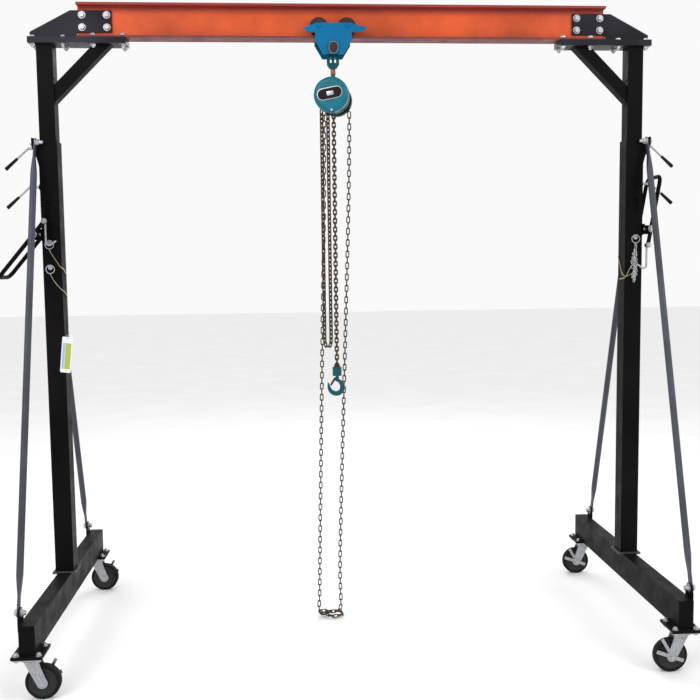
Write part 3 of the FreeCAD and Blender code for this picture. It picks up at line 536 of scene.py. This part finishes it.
class CRANE_OT_leg_bolts(bpy.types.Operator):
    """Model the bolts of the struts, casters and levers"""
    bl_idname = "crane.leg_bolts"
    bl_label = "Leg Bolts"

    def execute(self, context):
        r = sizes().caster_bolt
        plate_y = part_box("right_mount_plates")[1].y - 0.062
        caster_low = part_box("right_caster_plates")[0].z
        nut, head = nut_with_end(r, r * 0.8, r * 1.35), hex_head(r * 0.95, r * 0.55)
        big, dome = nut_with_end(0.0135, 0.010, 0.030), dome_nut(0.0125, 0.018)
        outer = hex_head(0.0125, 0.0075)
        pivot, stud = hex_head(0.0135, 0.0085, 1.15), hex_head(0.0085, 0.006)
        high_y, high_z, low_z = 0.052, COLUMN_TOP - 0.007, 0.322
        for side, s in SIDES:
            corners = [(s * (LEG_X + i * 0.040), j * plate_y + k * 0.044)
                       for i in (-1, 1) for j in (-1, 1) for k in (-1, 1)]
            caster_nuts = [at((x, y, MOUNT_TOP), Z, roll=x * y * 30) for x, y in corners]
            caster_heads = [at((x, y, caster_low), -Z, roll=x + y) for x, y in corners]
            high = [at((s * (LEG_FACE + 0.006), y, high_z), -X * s, roll=0.3) for y in (-high_y, high_y)]
            low = [at((s * FOOT_HIGH.x, y, low_z), -X * s, roll=0.2) for y in (-LUG_Y, LUG_Y)]
            out = [at((s * (LEG_FACE + 0.018), y, high_z), X * s, roll=0.1) for y in (-high_y, high_y)]
            out += [at((s * (FOOT_HIGH.x + 0.012), y, low_z), X * s, roll=0.1) for y in (-LUG_Y, LUG_Y)]
            px, pz = s * LEVER_PIVOT.x, LEVER_PIVOT.z
            ends = [at((px, y * (LEVER_SIDE + 0.0005), pz), Y * y, roll=0.4) for y in (-1, 1)]
            dots = [at((px - s * 0.019, y * 0.052, pz), Y * y, scale=0.5) for y in (-1, 1)]
            for name, kinds in (("caster_bolts", ((nut, caster_nuts), (head, caster_heads))),
                                ("strut_bolts", ((big, high), (dome, low), (outer, out))),
                                ("pivot_bolts", ((pivot, ends), (stud, dots)))):
                pieces = [copies(master, "bolts", places, keep=True) for master, places in kinds]
                finish_piece(join(pieces, "%s_%s" % (side, name)), side + "_leg", "zinc", MATERIALS["bright"])
            self.lift_nut(side, s, stud)
            self.axle_nuts(side, s, head)
        for master in (nut, head, big, dome, outer, pivot, stud):
            bpy.data.objects.remove(master)
        return {"FINISHED"}

    def lift_nut(self, side, s, stud):
        """The nut that holds the lift hook on the lever's short end."""
        low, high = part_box(side + "_lift_hook")
        eye = 0.009
        x = high.x - eye if s > 0 else low.x + eye
        nut = copies(stud, side + "_lift_nut", [at((x, -LEVER_SIDE - 0.0002, high.z - eye), -Y)], keep=True)
        finish_piece(nut, side + "_lift_lever", "zinc", MATERIALS["bright"])

    def axle_nuts(self, side, s, head):
        """Nuts at both ends of each caster's axle, the brake's side standing further out."""
        for place in ("front", "rear"):
            wheel = middle("%s_%s_wheel" % (side, place))
            nuts = [at((wheel.x, wheel.y - s * 0.0285, wheel.z), -Y * s, roll=0.5, scale=0.9),
                    at((wheel.x, wheel.y + s * 0.0242, wheel.z), Y * s, roll=0.2, scale=0.9)]
            finish_piece(copies(head, "%s_%s_axle_nuts" % (side, place), nuts, keep=True),
                         "%s_%s_fork" % (side, place), "zinc", MATERIALS["bright"])


# ---- welds --------------------------------------------------------------------------
def weld_run(start, end, radius):
    """A rippled bead between two points."""
    start, end = Vector(start), Vector(end)
    length = (end - start).length
    ripples = max(3, int(length / 0.0045))
    bead = round_blank(radius, length, 6, (0, 0, length / 2))
    work_on(bead, "EDGE", lambda a, b: abs(a.z - b.z) > length / 2)
    bpy.ops.mesh.subdivide(number_cuts=ripples)
    work_on(bead, "VERT", lambda p: int(round(p.z / length * (ripples + 1))) % 2 == 1)
    bpy.ops.transform.resize(value=(0.80, 0.80, 1), center_override=(0, 0, 0))
    done(60)
    bead.data.transform(at(start, end - start))
    return bead


class CRANE_OT_welds(bpy.types.Operator):
    """Run the weld beads round the column feet, foot plates, brackets and brace ends"""
    bl_idname = "crane.welds"
    bl_label = "Welds"

    def execute(self, context):
        r = sizes().weld
        for side, s in SIDES:
            for name, body, runs in (("leg", side + "_leg", self.leg_runs(r)),
                                     ("top", "upper_frame", self.top_runs(r))):
                beads = [weld_run((s * a[0], *a[1:]), (s * b[0], *b[1:]), radius) for a, b, radius in runs]
                finish_piece(join(beads, "%s_%s_welds" % (side, name)), body, "frame_black", MATERIALS["frame"])
        return {"FINISHED"}

    def leg_runs(self, r):
        """Ends and radius of each bead on the right leg."""
        base_low, base_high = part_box("right_base_plate")
        z, half = base_high.z, COLUMN_HALF
        ring = [(LEG_X - half, -half, z), (LEG_FACE, -half, z), (LEG_FACE, half, z), (LEG_X - half, half, z)]
        runs = [(a, b, r) for a, b in zip(ring, ring[1:] + ring[:1])]
        under = base_low.z + 0.001
        runs += [((FOOT_LOW.x, y, under), (FOOT_HIGH.x, y, under), r) for y in (base_low.y, base_high.y)]
        lug_x, lug_z = FOOT_HIGH.x + 0.004, FOOT_HIGH.z - 0.026
        for e in (-1, 1):
            runs += [((x, e * 0.514, MOUNT_TOP), (x, e * 0.616, MOUNT_TOP), r * 0.8)
                     for x in (FOOT_LOW.x, FOOT_HIGH.x)]
            runs.append(((lug_x, e * LUG_Y - 0.03, lug_z), (lug_x, e * LUG_Y + 0.03, lug_z), r * 0.7))
            rib_y = e * 0.0345
            runs.append(((LEG_FACE, rib_y, COLUMN_TOP - 0.098), (LEG_FACE, rib_y, COLUMN_TOP - 0.002), r * 0.7))
        for z in (LEVER_PIVOT.z - 0.022, LEVER_PIVOT.z + 0.022):
            runs.append(((LEG_FACE, -0.036, z), (LEG_FACE, 0.036, z), r * 0.7))
        return runs

    def top_runs(self, r):
        """Ends and radius of each bead round the right brace and upper column."""
        inner, end, z = LEG_X - 0.0325, LEG_X - 0.229, PLATE_LOW.z
        runs = [((inner, -0.024, z - drop), (inner, 0.024, z - drop), r * 0.8) for drop in (0.1357, 0.2365)]
        runs += [((end + dx, -0.024, z), (end + dx, 0.024, z), r * 0.8) for dx in (-0.0353, 0.0353)]
        runs += [((LEG_X - 0.032, y, z), (LEG_X + 0.032, y, z), r) for y in (-0.0325, 0.0325)]
        return runs


# ---- casters ------------------------------------------------------------------------
def caster_wheel(radius, width):
    """Tyre with rounded shoulders and a dished hub with a raised boss, turned about Z."""
    tyre = round_blank(radius, width, 64)
    half = width / 2
    steps = ((radius * 0.20, 0.0), (0.0015, -0.0025), (radius * 0.10, 0.0), (0.004, -0.0035),
             (radius * 0.30, 0.0), (0.002, 0.0045), (0.0045, 0.0))
    for sign in (-1, 1):
        for inset, depth in steps:
            work_on(tyre, "FACE", lambda face: face.normal.z * sign > 0.9 and face.center.xy.length < 0.001)
            bpy.ops.mesh.inset(thickness=inset, depth=depth)
            bpy.ops.object.mode_set(mode="OBJECT")
    round_over(tyre, 0.006, lambda a, b: abs(a.xy.length - radius) < 1e-5 and abs(b.xy.length - radius) < 1e-5
               and flat_edge(a, b), 3)
    for face in tyre.data.polygons:
        face.material_index = 1 if face.center.xy.length < radius * 0.79 else 0
    return tyre


class CRANE_OT_casters(bpy.types.Operator):
    """Model the caster wheels, swivel races and the side brake's pedals"""
    bl_idname = "crane.casters"
    bl_label = "Casters"

    def execute(self, context):
        low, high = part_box("right_front_wheel")
        master = caster_wheel((high.z - low.z) / 2, 0.034)
        pad = block_blank((0.016, 0.017, 0.0035))
        round_over(pad, 0.0012, lambda a, b: True)
        race = round_blank(0.0395, 0.0035, 40)
        round_over(race, 0.0015, flat_edge)
        lean, reach = math.radians(30), 0.080
        for side, s in SIDES:
            for place, e in (("front", -1), ("rear", 1)):
                name = "%s_%s_" % (side, place)
                centre = middle(name + "wheel")
                wheel = copies(master, name + "tyre", [at(centre, Y)], keep=True)
                finish_piece(wheel, name + "wheel", "wheel_rubber", MATERIALS["rubber"], MATERIALS["hub"])
                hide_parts(name + "wheel")
                spot = centre + Vector((s * reach * math.sin(lean), -s * 0.0215, reach * math.cos(lean)))
                tread = Matrix.Translation(spot) @ Matrix.Rotation(lean * s, 4, "Y")
                pedal = copies(pad, name + "pedals", [tread], keep=True)
                levels = [at((s * LEG_X, e * 0.574, z)) for z in (0.1515, 0.1588)]
                rings = copies(race, name + "races", levels, keep=True)
                finish_piece(join([pedal, rings], name + "pedals"), name + "fork", "zinc", MATERIALS["zinc"])
        for piece in (master, pad, race):
            bpy.data.objects.remove(piece)
        return {"FINISHED"}


# ---- clamp screws and levers --------------------------------------------------------
class CRANE_OT_grips(bpy.types.Operator):
    """Model the ribbed grips and the collars of the clamp screws"""
    bl_idname = "crane.grips"
    bl_label = "Clamp Grips"

    def execute(self, context):
        grip = self.grip(sizes().grip_ribs, 0.067, 0.0052, 1.36)
        boss = nut_with_end(0.0125, 0.009, 0.010)
        slope = math.radians(42)
        for side, s in SIDES:
            down = Vector((s * math.cos(slope), 0, -math.sin(slope)))
            for level, z in (("upper", 2.056), ("lower", 1.900)):
                start = Vector((s * (LEG_X + 0.087), 0, z)) + down * (0.126 - 0.0664)
                name = "%s_clamp_%s" % (side, level)
                sleeve = copies(grip, name + "_grip", [at(start, down)], keep=True)
                finish_piece(sleeve, name, "wheel_rubber", MATERIALS["rubber"])
            collar = copies(boss, side + "_clamp_boss", [at((s * LEG_FACE, 0, z), X * s)], keep=True)
            finish_piece(collar, side + "_leg", "frame_black", MATERIALS["frame"])
        bpy.data.objects.remove(grip)
        bpy.data.objects.remove(boss)
        return {"FINISHED"}

    def grip(self, ribs, length, thin, swell):
        """A sleeve that swells towards its end, with ribs round it."""
        core = round_blank(thin, length, 20, (0, 0, length / 2))
        work_on(core, "FACE", facing(Z, 1))
        bpy.ops.transform.resize(value=(swell, swell, 1), center_override=(0, 0, 0))
        done()
        round_over(core, 0.0025, top_edge(length))
        rib = round_blank(thin + 0.0008, length / ribs * 0.5, 20)
        round_over(rib, 0.0008, flat_edge)
        shares = [(i + 1) / (ribs + 1) for i in range(ribs)]
        places = [at((0, 0, length * share), scale=1 + (swell - 1) * share) for share in shares]
        return join([core, copies(rib, "ribs", places)], "grip")


# ---- chains -------------------------------------------------------------------------
def link(pitch, width, wire):
    """One oval chain link lying in the XY plane, long way along X."""
    deselect()
    ring = (width - wire) / 2
    bpy.ops.mesh.primitive_torus_add(major_segments=12, minor_segments=6, major_radius=ring, minor_radius=wire / 2,
                                     rotation=(0, 0, math.radians(15)))
    bpy.ops.object.transform_apply(location=True, rotation=True, scale=True)
    piece = bpy.context.object
    stretch = (pitch - (width - 2 * wire)) / 2
    for sign in (-1, 1):
        work_on(piece, "VERT", lambda p: p.x * sign > 0)
        bpy.ops.transform.translate(value=(sign * stretch, 0, 0))
    done(80)
    return piece


def smooth_line(points, sharp=False):
    """Closely spaced points of a smooth curve guided by a few, or of a sharp line through them."""
    curve = bpy.data.curves.new("guide", "CURVE")
    curve.dimensions = "3D"
    spline = curve.splines.new("POLY" if sharp else "NURBS")
    spline.points.add(len(points) - 1)
    for knot, point in zip(spline.points, points):
        knot.co = (*point, 1)
    if not sharp:
        spline.order_u = 3
        spline.use_endpoint_u = True
        spline.resolution_u = 24
    guide = bpy.data.objects.new("guide", curve)
    bpy.context.collection.objects.link(guide)
    mesh = bpy.data.meshes.new_from_object(guide)
    line = [v.co.copy() for v in mesh.vertices]
    bpy.data.objects.remove(guide)
    bpy.data.meshes.remove(mesh)
    return line


def point_on(line, distance):
    """The point a distance along a line."""
    for a, b in zip(line, line[1:]):
        step = (b - a).length
        if distance <= step or b is line[-1]:
            return a + (b - a) * (distance / step if step else 0)
        distance -= step


def length_of(line):
    return sum((b - a).length for a, b in zip(line, line[1:]))


def chain_places(line, pitch, roll):
    """Places for links along a line, each turned a quarter from the last."""
    places = []
    for i in range(int(length_of(line) / pitch)):
        a, b = point_on(line, i * pitch), point_on(line, (i + 1) * pitch)
        along = (b - a).normalized()
        side = Vector((math.cos(roll), math.sin(roll), 0))
        if abs(along.z) < 0.75:
            side = Z
        up = along.cross(side).normalized()
        if i % 2:
            up = up.cross(along).normalized()
        across = up.cross(along)
        turn = Matrix((along, across, up)).transposed().to_4x4()
        places.append(Matrix.Translation((a + b) / 2) @ turn)
    return places


class CRANE_OT_chains(bpy.types.Operator):
    """Link up the load chain, its slack loop and the endless hand chain"""
    bl_idname = "crane.chains"
    bl_label = "Chains"

    def execute(self, context):
        k = sizes()
        inside = HOIST_Z - HOIST_RADIUS + 0.021
        load = smooth_line([(0, 0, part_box("hook_block")[1].z - 0.004), (0, 0, inside)], True)
        places = chain_places(load, k.load_pitch, 0.35)
        places += chain_places(smooth_line(self.slack_route(inside)), k.load_pitch, 0.9)
        self.hang(link(k.load_pitch, 0.0200, k.load_wire), places, "load_chain")
        hand = smooth_line(self.hand_route(0.085, HOIST_Z - 0.034))
        self.hang(link(k.hand_pitch, 0.0175, k.hand_wire), chain_places(hand, k.hand_pitch, 0.25), "hand_chain")
        return {"FINISHED"}

    def hang(self, master, places, node):
        chain = copies(master, node + "_links", [HOIST_TURN @ p for p in places])
        finish_piece(chain, "hoist", "chain_bronze", MATERIALS["chain"])
        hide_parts(node)

    def slack_route(self, inside):
        """The load chain's slack: down, round a narrow bend and up again."""
        left, right, low = -0.051, -0.024, 1.222
        down = [(left, 0, inside), (left, 0, low + 0.10), (left - 0.001, 0, low + 0.02), (left + 0.004, 0, low)]
        up = [(right - 0.004, 0, low), (right + 0.001, 0, low + 0.02), (right, 0, low + 0.10), (right, 0, inside)]
        return down + [((left + right) / 2, 0, low - 0.004)] + up

    def hand_route(self, y, top):
        """The hand chain: down to the floor, twice round a small heap there, and up again."""
        down = [(-0.054, y, top), (-0.0545, y, 2.0), (-0.079, y, 1.15), (-0.1025, y, 0.25),
                (-0.106, y, 0.08), (-0.110, y - 0.004, 0.030)]
        first = [(-0.108, y + 0.018, 0.014), (-0.088, y + 0.022, 0.013), (-0.070, y - 0.006, 0.013),
                 (-0.050, y - 0.022, 0.014), (-0.026, y - 0.016, 0.013), (-0.006, y + 0.004, 0.013),
                 (0.004, y + 0.020, 0.014), (-0.020, y + 0.023, 0.022), (-0.046, y + 0.008, 0.026)]
        second = [(-0.076, y - 0.018, 0.024), (-0.102, y - 0.020, 0.022), (-0.106, y + 0.002, 0.027),
                  (-0.084, y + 0.012, 0.028), (-0.050, y - 0.012, 0.029), (-0.024, y + 0.010, 0.028)]
        up = [(-0.010, y + 0.002, 0.040), (-0.010, y, 0.09), (-0.0135, y, 0.25), (0.021, y, 1.15),
              (0.0535, y, 2.0), (0.054, y, top)]
        return down + first + second + up


class CRANE_OT_lanyards(bpy.types.Operator):
    """Thread the bead lanyards of the locking pins and the bunched pin chain"""
    bl_idname = "crane.lanyards"
    bl_label = "Lanyards"

    def execute(self, context):
        upper_pin, lower_pin = COLUMN_TOP - 0.410, COLUMN_TOP - 0.510
        left = [self.left_route(upper_pin, 0.100, 0.134), self.left_route(lower_pin, 0.092, 0.124)]
        bead = self.bead(sizes().bead)
        gap = sizes().bead * 2.15
        for side, routes in (("left", left), ("right", self.right_routes(upper_pin))):
            spots = []
            for route in routes:
                line = smooth_line(route)
                spots += [at(point_on(line, i * gap)) for i in range(int(length_of(line) / gap))]
            strand = copies(bead, side + "_lanyard_beads", spots, keep=True)
            finish_piece(strand, side + "_leg", "zinc", MATERIALS["lanyard"])
            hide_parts(side + "_lanyards")
        bpy.data.objects.remove(bead)
        self.pin_chain(upper_pin - 0.0235)
        return {"FINISHED"}

    def bead(self, r):
        deselect()
        bpy.ops.mesh.primitive_uv_sphere_add(segments=8, ring_count=6, radius=r)
        ball = bpy.context.object
        work_on(ball, "VERT", lambda p: abs(p.z) > r * 0.9)
        bpy.ops.transform.resize(value=(1, 1, 0.9), center_override=(0, 0, 0))
        done(80)
        return ball

    def left_route(self, pin, drop, end):
        """From a pin's ring across the column's front, round its corner and along its inner side."""
        low = pin - drop
        return [(-1.226, -0.0430, pin - 0.0270), (-1.222, -0.0420, pin - 0.040), (-1.205, -0.0410, pin - 0.066),
                (-1.190, -0.0415, low + 0.008), (-1.1805, -0.0435, low - 0.002), (-1.1760, -0.0400, low - 0.004),
                (-1.1765, -0.0200, low - 0.010), (-1.1777, 0.030, pin - end)]

    def right_routes(self, pin):
        """Two strands from the inner side, round the corner to the bunched chain."""
        first = [(1.1777, 0.030, pin - 0.080), (1.1775, 0.012, pin - 0.112), (1.1755, -0.020, pin - 0.150),
                 (1.1755, -0.039, pin - 0.162), (1.181, -0.0435, pin - 0.165), (1.192, -0.0415, pin - 0.164),
                 (1.208, -0.041, pin - 0.156), (1.219, -0.042, pin - 0.148)]
        second = [(1.219, -0.042, pin - 0.100), (1.207, -0.041, pin - 0.122), (1.196, -0.041, pin - 0.146),
                  (1.186, -0.0415, pin - 0.166), (1.1795, -0.043, pin - 0.172), (1.1755, -0.040, pin - 0.174),
                  (1.1762, -0.020, pin - 0.176), (1.1777, 0.020, pin - 0.178)]
        return first, second

    def pin_chain(self, top):
        """A chain hanging from the right pin's ring, its middle bunched into a cluster of links."""
        pitch, links = 0.014, 20
        drop = smooth_line([(1.226, -0.0450, top), (1.2235, -0.0460, top - 0.05), (1.2225, -0.0460, top - 0.10),
                            (1.218, -0.0450, top - 0.180)])
        places = chain_places(drop, pitch, 0.4)
        random.seed(7)
        for i in range(links):
            spread = 0.012 * math.sin(math.pi * (i + 1) / (links + 1))
            spot = Vector((1.2235 - i * 0.0002 + random.uniform(-spread, spread),
                           -0.0462 + random.uniform(-0.0025, 0.0015), top - 0.034 - i * 0.0062))
            turn = Matrix.Rotation(math.radians(90), 4, "X") @ Matrix.Rotation(random.uniform(0, math.pi), 4, "Z")
            places.append(Matrix.Translation(spot) @ turn)
        bunch = copies(link(pitch, 0.013, 0.0032), "pin_chain", places)
        finish_piece(bunch, "right_leg", "zinc", MATERIALS["bright"])


class CRANE_OT_tag(bpy.types.Operator):
    """Cut the blank hanging tag, with its colour panels and its eyelet"""
    bl_idname = "crane.tag"
    bl_label = "Hanging Tag"

    def execute(self, context):
        low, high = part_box("hang_tag")
        size, centre = high - low, (low + high) / 2
        card = block_blank((size.x * 0.94, size.y * 0.6, size.z * 0.99), centre)
        round_over(card, 0.005, lambda a, b: abs(a.y - b.y) > size.y * 0.4, 4)
        patches = []
        for width, offset in ((0.20, -0.27), (0.50, 0.12)):
            spot = (centre.x + size.x * offset, centre.y - size.y * 0.32, centre.z - 0.006)
            patches.append(block_blank((size.x * width, 0.0004, size.z * 0.72), spot))
            round_over(patches[-1], 0.0015, lambda a, b: abs(a.y - b.y) > 0.0003)
        stripe_from = len(card.data.polygons)
        panel_from = stripe_from + len(patches[0].data.polygons)
        card = join([card, *patches], "tag_card")
        for face in card.data.polygons:
            face.material_index = (face.index >= stripe_from) + (face.index >= panel_from)
        card.data.transform(Matrix.Translation(high) @ Matrix.Rotation(math.radians(6), 4, "Y")
                            @ Matrix.Translation(-high))
        finish_piece(card, "left_leg", "tag_white", *[MATERIALS[key] for key in ("card", "stripe", "panel")])
        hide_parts("hang_tag")
        ring = link(0.016, 0.011, 0.0016)
        upright = Matrix.Rotation(math.radians(90), 4, "X") @ Matrix.Rotation(math.radians(90), 4, "Z")
        ring.data.transform(Matrix.Translation((centre.x, centre.y, high.z + 0.001)) @ upright)
        ring.name = "tag_ring"
        finish_piece(ring, "left_leg", "zinc", MATERIALS["bright"])
        return {"FINISHED"}


# ---- trolley, hoist and hook --------------------------------------------------------
class CRANE_OT_hoist(bpy.types.Operator):
    """Model the hoist's blank nameplate, cover screws, rim and the trolley's bosses"""
    bl_idname = "crane.hoist"
    bl_label = "Hoist Fittings"

    def execute(self, context):
        plate = round_blank(0.0245, 0.0022, 32)
        for sign in (-1, 1):
            work_on(plate, "VERT", lambda p: p.x * sign > 1e-5)
            bpy.ops.transform.translate(value=(sign * 0.0285, 0, 0))
        bpy.ops.object.mode_set(mode="OBJECT")
        round_over(plate, 0.0006, lambda a, b: a.z > 0 and b.z > 0)
        work_on(plate, "FACE", lambda face: face.normal.z > 0.9 and face.area > 0.0005)
        bpy.ops.mesh.inset(thickness=0.0022, depth=0.0)
        bpy.ops.mesh.inset(thickness=0.0006, depth=-0.0008)
        done()
        field = max(plate.data.polygons, key=lambda face: face.area * (face.normal.z > 0.9)).index
        place = HOIST_TURN @ Matrix.Translation((-0.003, -0.0788, HOIST_Z + 0.002))
        place = place @ Matrix.Rotation(math.radians(-9.5), 4, "Y")
        plate.data.transform(place @ Matrix.Rotation(math.radians(90), 4, "X"))
        label = block_blank((0.028, 0.017, 0.0012), (0.002, 0, 0.0008))
        round_over(label, 0.0004, lambda a, b: a.z > 0.001 and b.z > 0.001)
        label.data.transform(place @ Matrix.Rotation(math.radians(90), 4, "X"))
        plate = join([plate, label], "hoist_nameplate")
        plate.data.polygons[field].material_index = 1
        finish_piece(plate, "hoist", "zinc", MATERIALS["bright"], MATERIALS["plate"])
        screw = dome_nut(0.0045, 0.005)
        spots = [HOIST_TURN @ at((0.004, -0.0750, HOIST_Z - HOIST_RADIUS + 0.010), -Y)]
        finish_piece(copies(screw, "cover_screws", spots), "hoist", "zinc", MATERIALS["bright"])
        radius = HOIST_RADIUS + 0.0007
        rim = round_blank(radius, 0.005, 72)
        for sign in (-1, 1):
            work_on(rim, "FACE", lambda face: face.normal.z * sign > 0.9)
            bpy.ops.mesh.inset(thickness=0.006, depth=-0.0015)
            bpy.ops.object.mode_set(mode="OBJECT")
        round_over(rim, 0.0012, lambda a, b: min(a.xy.length, b.xy.length) > radius - 2e-4 and flat_edge(a, b))
        smaller = HAND_COVER_RADIUS / HOIST_RADIUS
        places = [HOIST_TURN @ at((0, -0.0315, HOIST_Z), Y),
                  HOIST_TURN @ at((0, 0.0655, HOIST_Z), Y, scale=smaller)]
        # Both cover rims take the near-black teal painted shade.
        finish_piece(copies(rim, "cover_rims", places), "hoist", "hoist_teal", MATERIALS["shade"])
        collar = round_blank(0.0105, 0.022, 24)
        round_over(collar, 0.002, lambda a, b: abs(a.z - b.z) < 1e-6)
        collar.data.transform(at((HOIST_AXIS.x, 0, 2.3625)))
        collar.name = "hanger_collar"
        finish_piece(collar, "hanger", "trolley_dark", MATERIALS["copper"])
        boss = round_blank(0.0195, 0.010, 32)
        work_on(boss, "VERT", lambda p: p.y > 1e-5)
        bpy.ops.transform.translate(value=(0, 0.011, 0))
        bpy.ops.object.mode_set(mode="OBJECT")
        round_over(boss, 0.0018, lambda a, b: a.z > 0 and b.z > 0)
        work_on(boss, "FACE", lambda face: face.normal.z > 0.9 and face.area > 0.0005)
        bpy.ops.mesh.inset(thickness=0.0055, depth=-0.0045)
        done()
        for face in boss.data.polygons:
            face.material_index = 1 if face.normal.z > 0.9 and face.center.z < 0.003 else 0
        spot = Matrix.Translation((HOIST_AXIS.x, 0, 2.446))
        front = spot @ Matrix.Translation((0, -0.0585, 0)) @ Matrix.Rotation(math.radians(90), 4, "X")
        rear = spot @ Matrix.Rotation(math.pi, 4, "Z") @ spot.inverted() @ front
        finish_piece(copies(boss, "spindle_bosses", [front, rear]), "trolley", "trolley_dark",
                     MATERIALS["axle"], MATERIALS["iron"])
        wheel_z = middle("trolley_wheel_front_left").z
        spots = [at((HOIST_AXIS.x + dx, s * 0.0532, wheel_z), Y * s) for dx in (-0.057, 0.057) for s in (-1, 1)]
        finish_piece(copies(hex_head(0.0085, 0.003), "trolley_axle_nuts", spots), "trolley", "hoist_teal",
                     MATERIALS["trolley"])
        return {"FINISHED"}


class CRANE_OT_hook(bpy.types.Operator):
    """Model the hook block's dome and its grooves"""
    bl_idname = "crane.hook"
    bl_label = "Hook Block Fittings"

    def execute(self, context):
        low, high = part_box("hook_block")
        centre = (low + high) / 2
        band = round_blank(0.0196, 0.0095, 40)
        round_over(band, 0.0022, lambda a, b: abs(a.z - b.z) < 1e-6)
        places = [at((centre.x, 0, low.z + dz)) for dz in (0.0055, 0.0190, 0.0325)]
        bands = copies(band, "hook_block_bands", places)
        finish_piece(bands, "hoist", "hoist_teal", MATERIALS["hook"])
        dome = round_blank(0.0125, 0.010, 28, (0, 0, 0.005))
        for thickness, lift in ((0.0016, 0.0016), (0.0024, 0.0009)):
            work_on(dome, "FACE", facing(Z, 1))
            bpy.ops.mesh.inset(thickness=thickness, depth=0)
            bpy.ops.transform.translate(value=(0, 0, lift))
            bpy.ops.object.mode_set(mode="OBJECT")
        round_over(dome, 0.001, lambda a, b: a.z > 0.009 and b.z > 0.009)
        dome.data.transform(at((centre.x, 0, high.z - 0.001)))
        dome.name = "hook_block_dome"
        finish_piece(dome, "hoist", "hoist_teal", MATERIALS["iron"])
        return {"FINISHED"}


class CRANE_OT_stage(bpy.types.Operator):
    """Lay the floor, hang the lights and set the camera"""
    bl_idname = "crane.stage"
    bl_label = "Studio"

    def execute(self, context):
        deselect()
        bpy.ops.mesh.primitive_plane_add(size=60, location=(0, 0, 0))
        floor = bpy.context.object
        floor.name = "floor"
        finish = Finish("pale floor")
        finish.colour(finish.blend(finish.range(finish.noise(2, 3), 0.3, 0.7), (0.86, 0.86, 0.86), (0.90, 0.90, 0.90)))
        finish.shader.inputs["Roughness"].default_value = 0.9
        floor.data.materials.append(finish.material)
        world = bpy.context.scene.world or bpy.data.worlds.new("studio")
        bpy.context.scene.world = world
        world.use_nodes = True
        world.node_tree.nodes["Background"].inputs["Color"].default_value = (1, 1, 1, 1)
        world.node_tree.nodes["Background"].inputs["Strength"].default_value = 0.95
        context.scene.view_settings.view_transform = "Standard"
        for place, energy, size in (((-3.5, -4.5, 4.5), 130, 3.0), ((4.0, -3.5, 3.6), 70, 2.5), ((0.5, 3.5, 4.6), 80, 3.0)):
            lamp = bpy.data.lights.new("softbox", "AREA")
            lamp.energy, lamp.size = energy, size
            holder = bpy.data.objects.new("softbox", lamp)
            holder.location = place
            holder.rotation_euler = (Vector((0, 0, 1.3)) - Vector(place)).to_track_quat("-Z", "Y").to_euler()
            bpy.context.collection.objects.link(holder)
        lens = bpy.data.cameras.new("camera")
        lens.lens, lens.sensor_width = 46.92, 36
        camera = bpy.data.objects.new("camera", lens)
        yaw, pitch, roll = 0.0697, -0.0874, -0.0122
        ahead = Vector((math.sin(yaw) * math.cos(pitch), math.cos(yaw) * math.cos(pitch), math.sin(pitch)))
        right = Vector((math.cos(yaw), -math.sin(yaw), 0))
        above = right.cross(ahead)
        side = right * math.cos(roll) + above * math.sin(roll)
        above = above * math.cos(roll) - right * math.sin(roll)
        turn = Matrix((side, above, -ahead)).transposed().to_4x4()
        camera.matrix_world = Matrix.Translation((-0.2684, -3.8647, 1.5462)) @ turn
        bpy.context.collection.objects.link(camera)
        bpy.context.scene.camera = camera
        return {"FINISHED"}


class CRANE_PT_sidebar(bpy.types.Panel):
    """Sidebar list of the crane's pieces, sizes and colours"""
    bl_idname = "CRANE_PT_sidebar"
    bl_label = "Gantry Crane"
    bl_space_type = "VIEW_3D"
    bl_region_type = "UI"
    bl_category = "Crane"

    def draw(self, context):
        for group in (colours(), sizes()):
            box = self.layout.box()
            for key in group.__annotations__:
                box.prop(group, key)
        for operator in OPERATORS:
            self.layout.operator(operator.bl_idname)


OPERATORS = (CRANE_OT_finishes, CRANE_OT_corner_bolts, CRANE_OT_leg_bolts, CRANE_OT_welds, CRANE_OT_casters,
             CRANE_OT_grips, CRANE_OT_chains, CRANE_OT_lanyards, CRANE_OT_tag, CRANE_OT_hoist, CRANE_OT_hook,
             CRANE_OT_stage)
CLASSES = (CraneFinishes, CraneSizes, *OPERATORS, CRANE_PT_sidebar)


def register():
    for item in CLASSES:
        bpy.utils.register_class(item)
    bpy.types.Scene.crane_finishes = PointerProperty(type=CraneFinishes)
    bpy.types.Scene.crane_sizes = PointerProperty(type=CraneSizes)


def unregister():
    del bpy.types.Scene.crane_sizes
    del bpy.types.Scene.crane_finishes
    for item in reversed(CLASSES):
        bpy.utils.unregister_class(item)


def main():
    register()
    for operator in OPERATORS:
        area, name = operator.bl_idname.split(".")
        getattr(getattr(bpy.ops, area), name)()


if __name__ == "__main__":
    main()
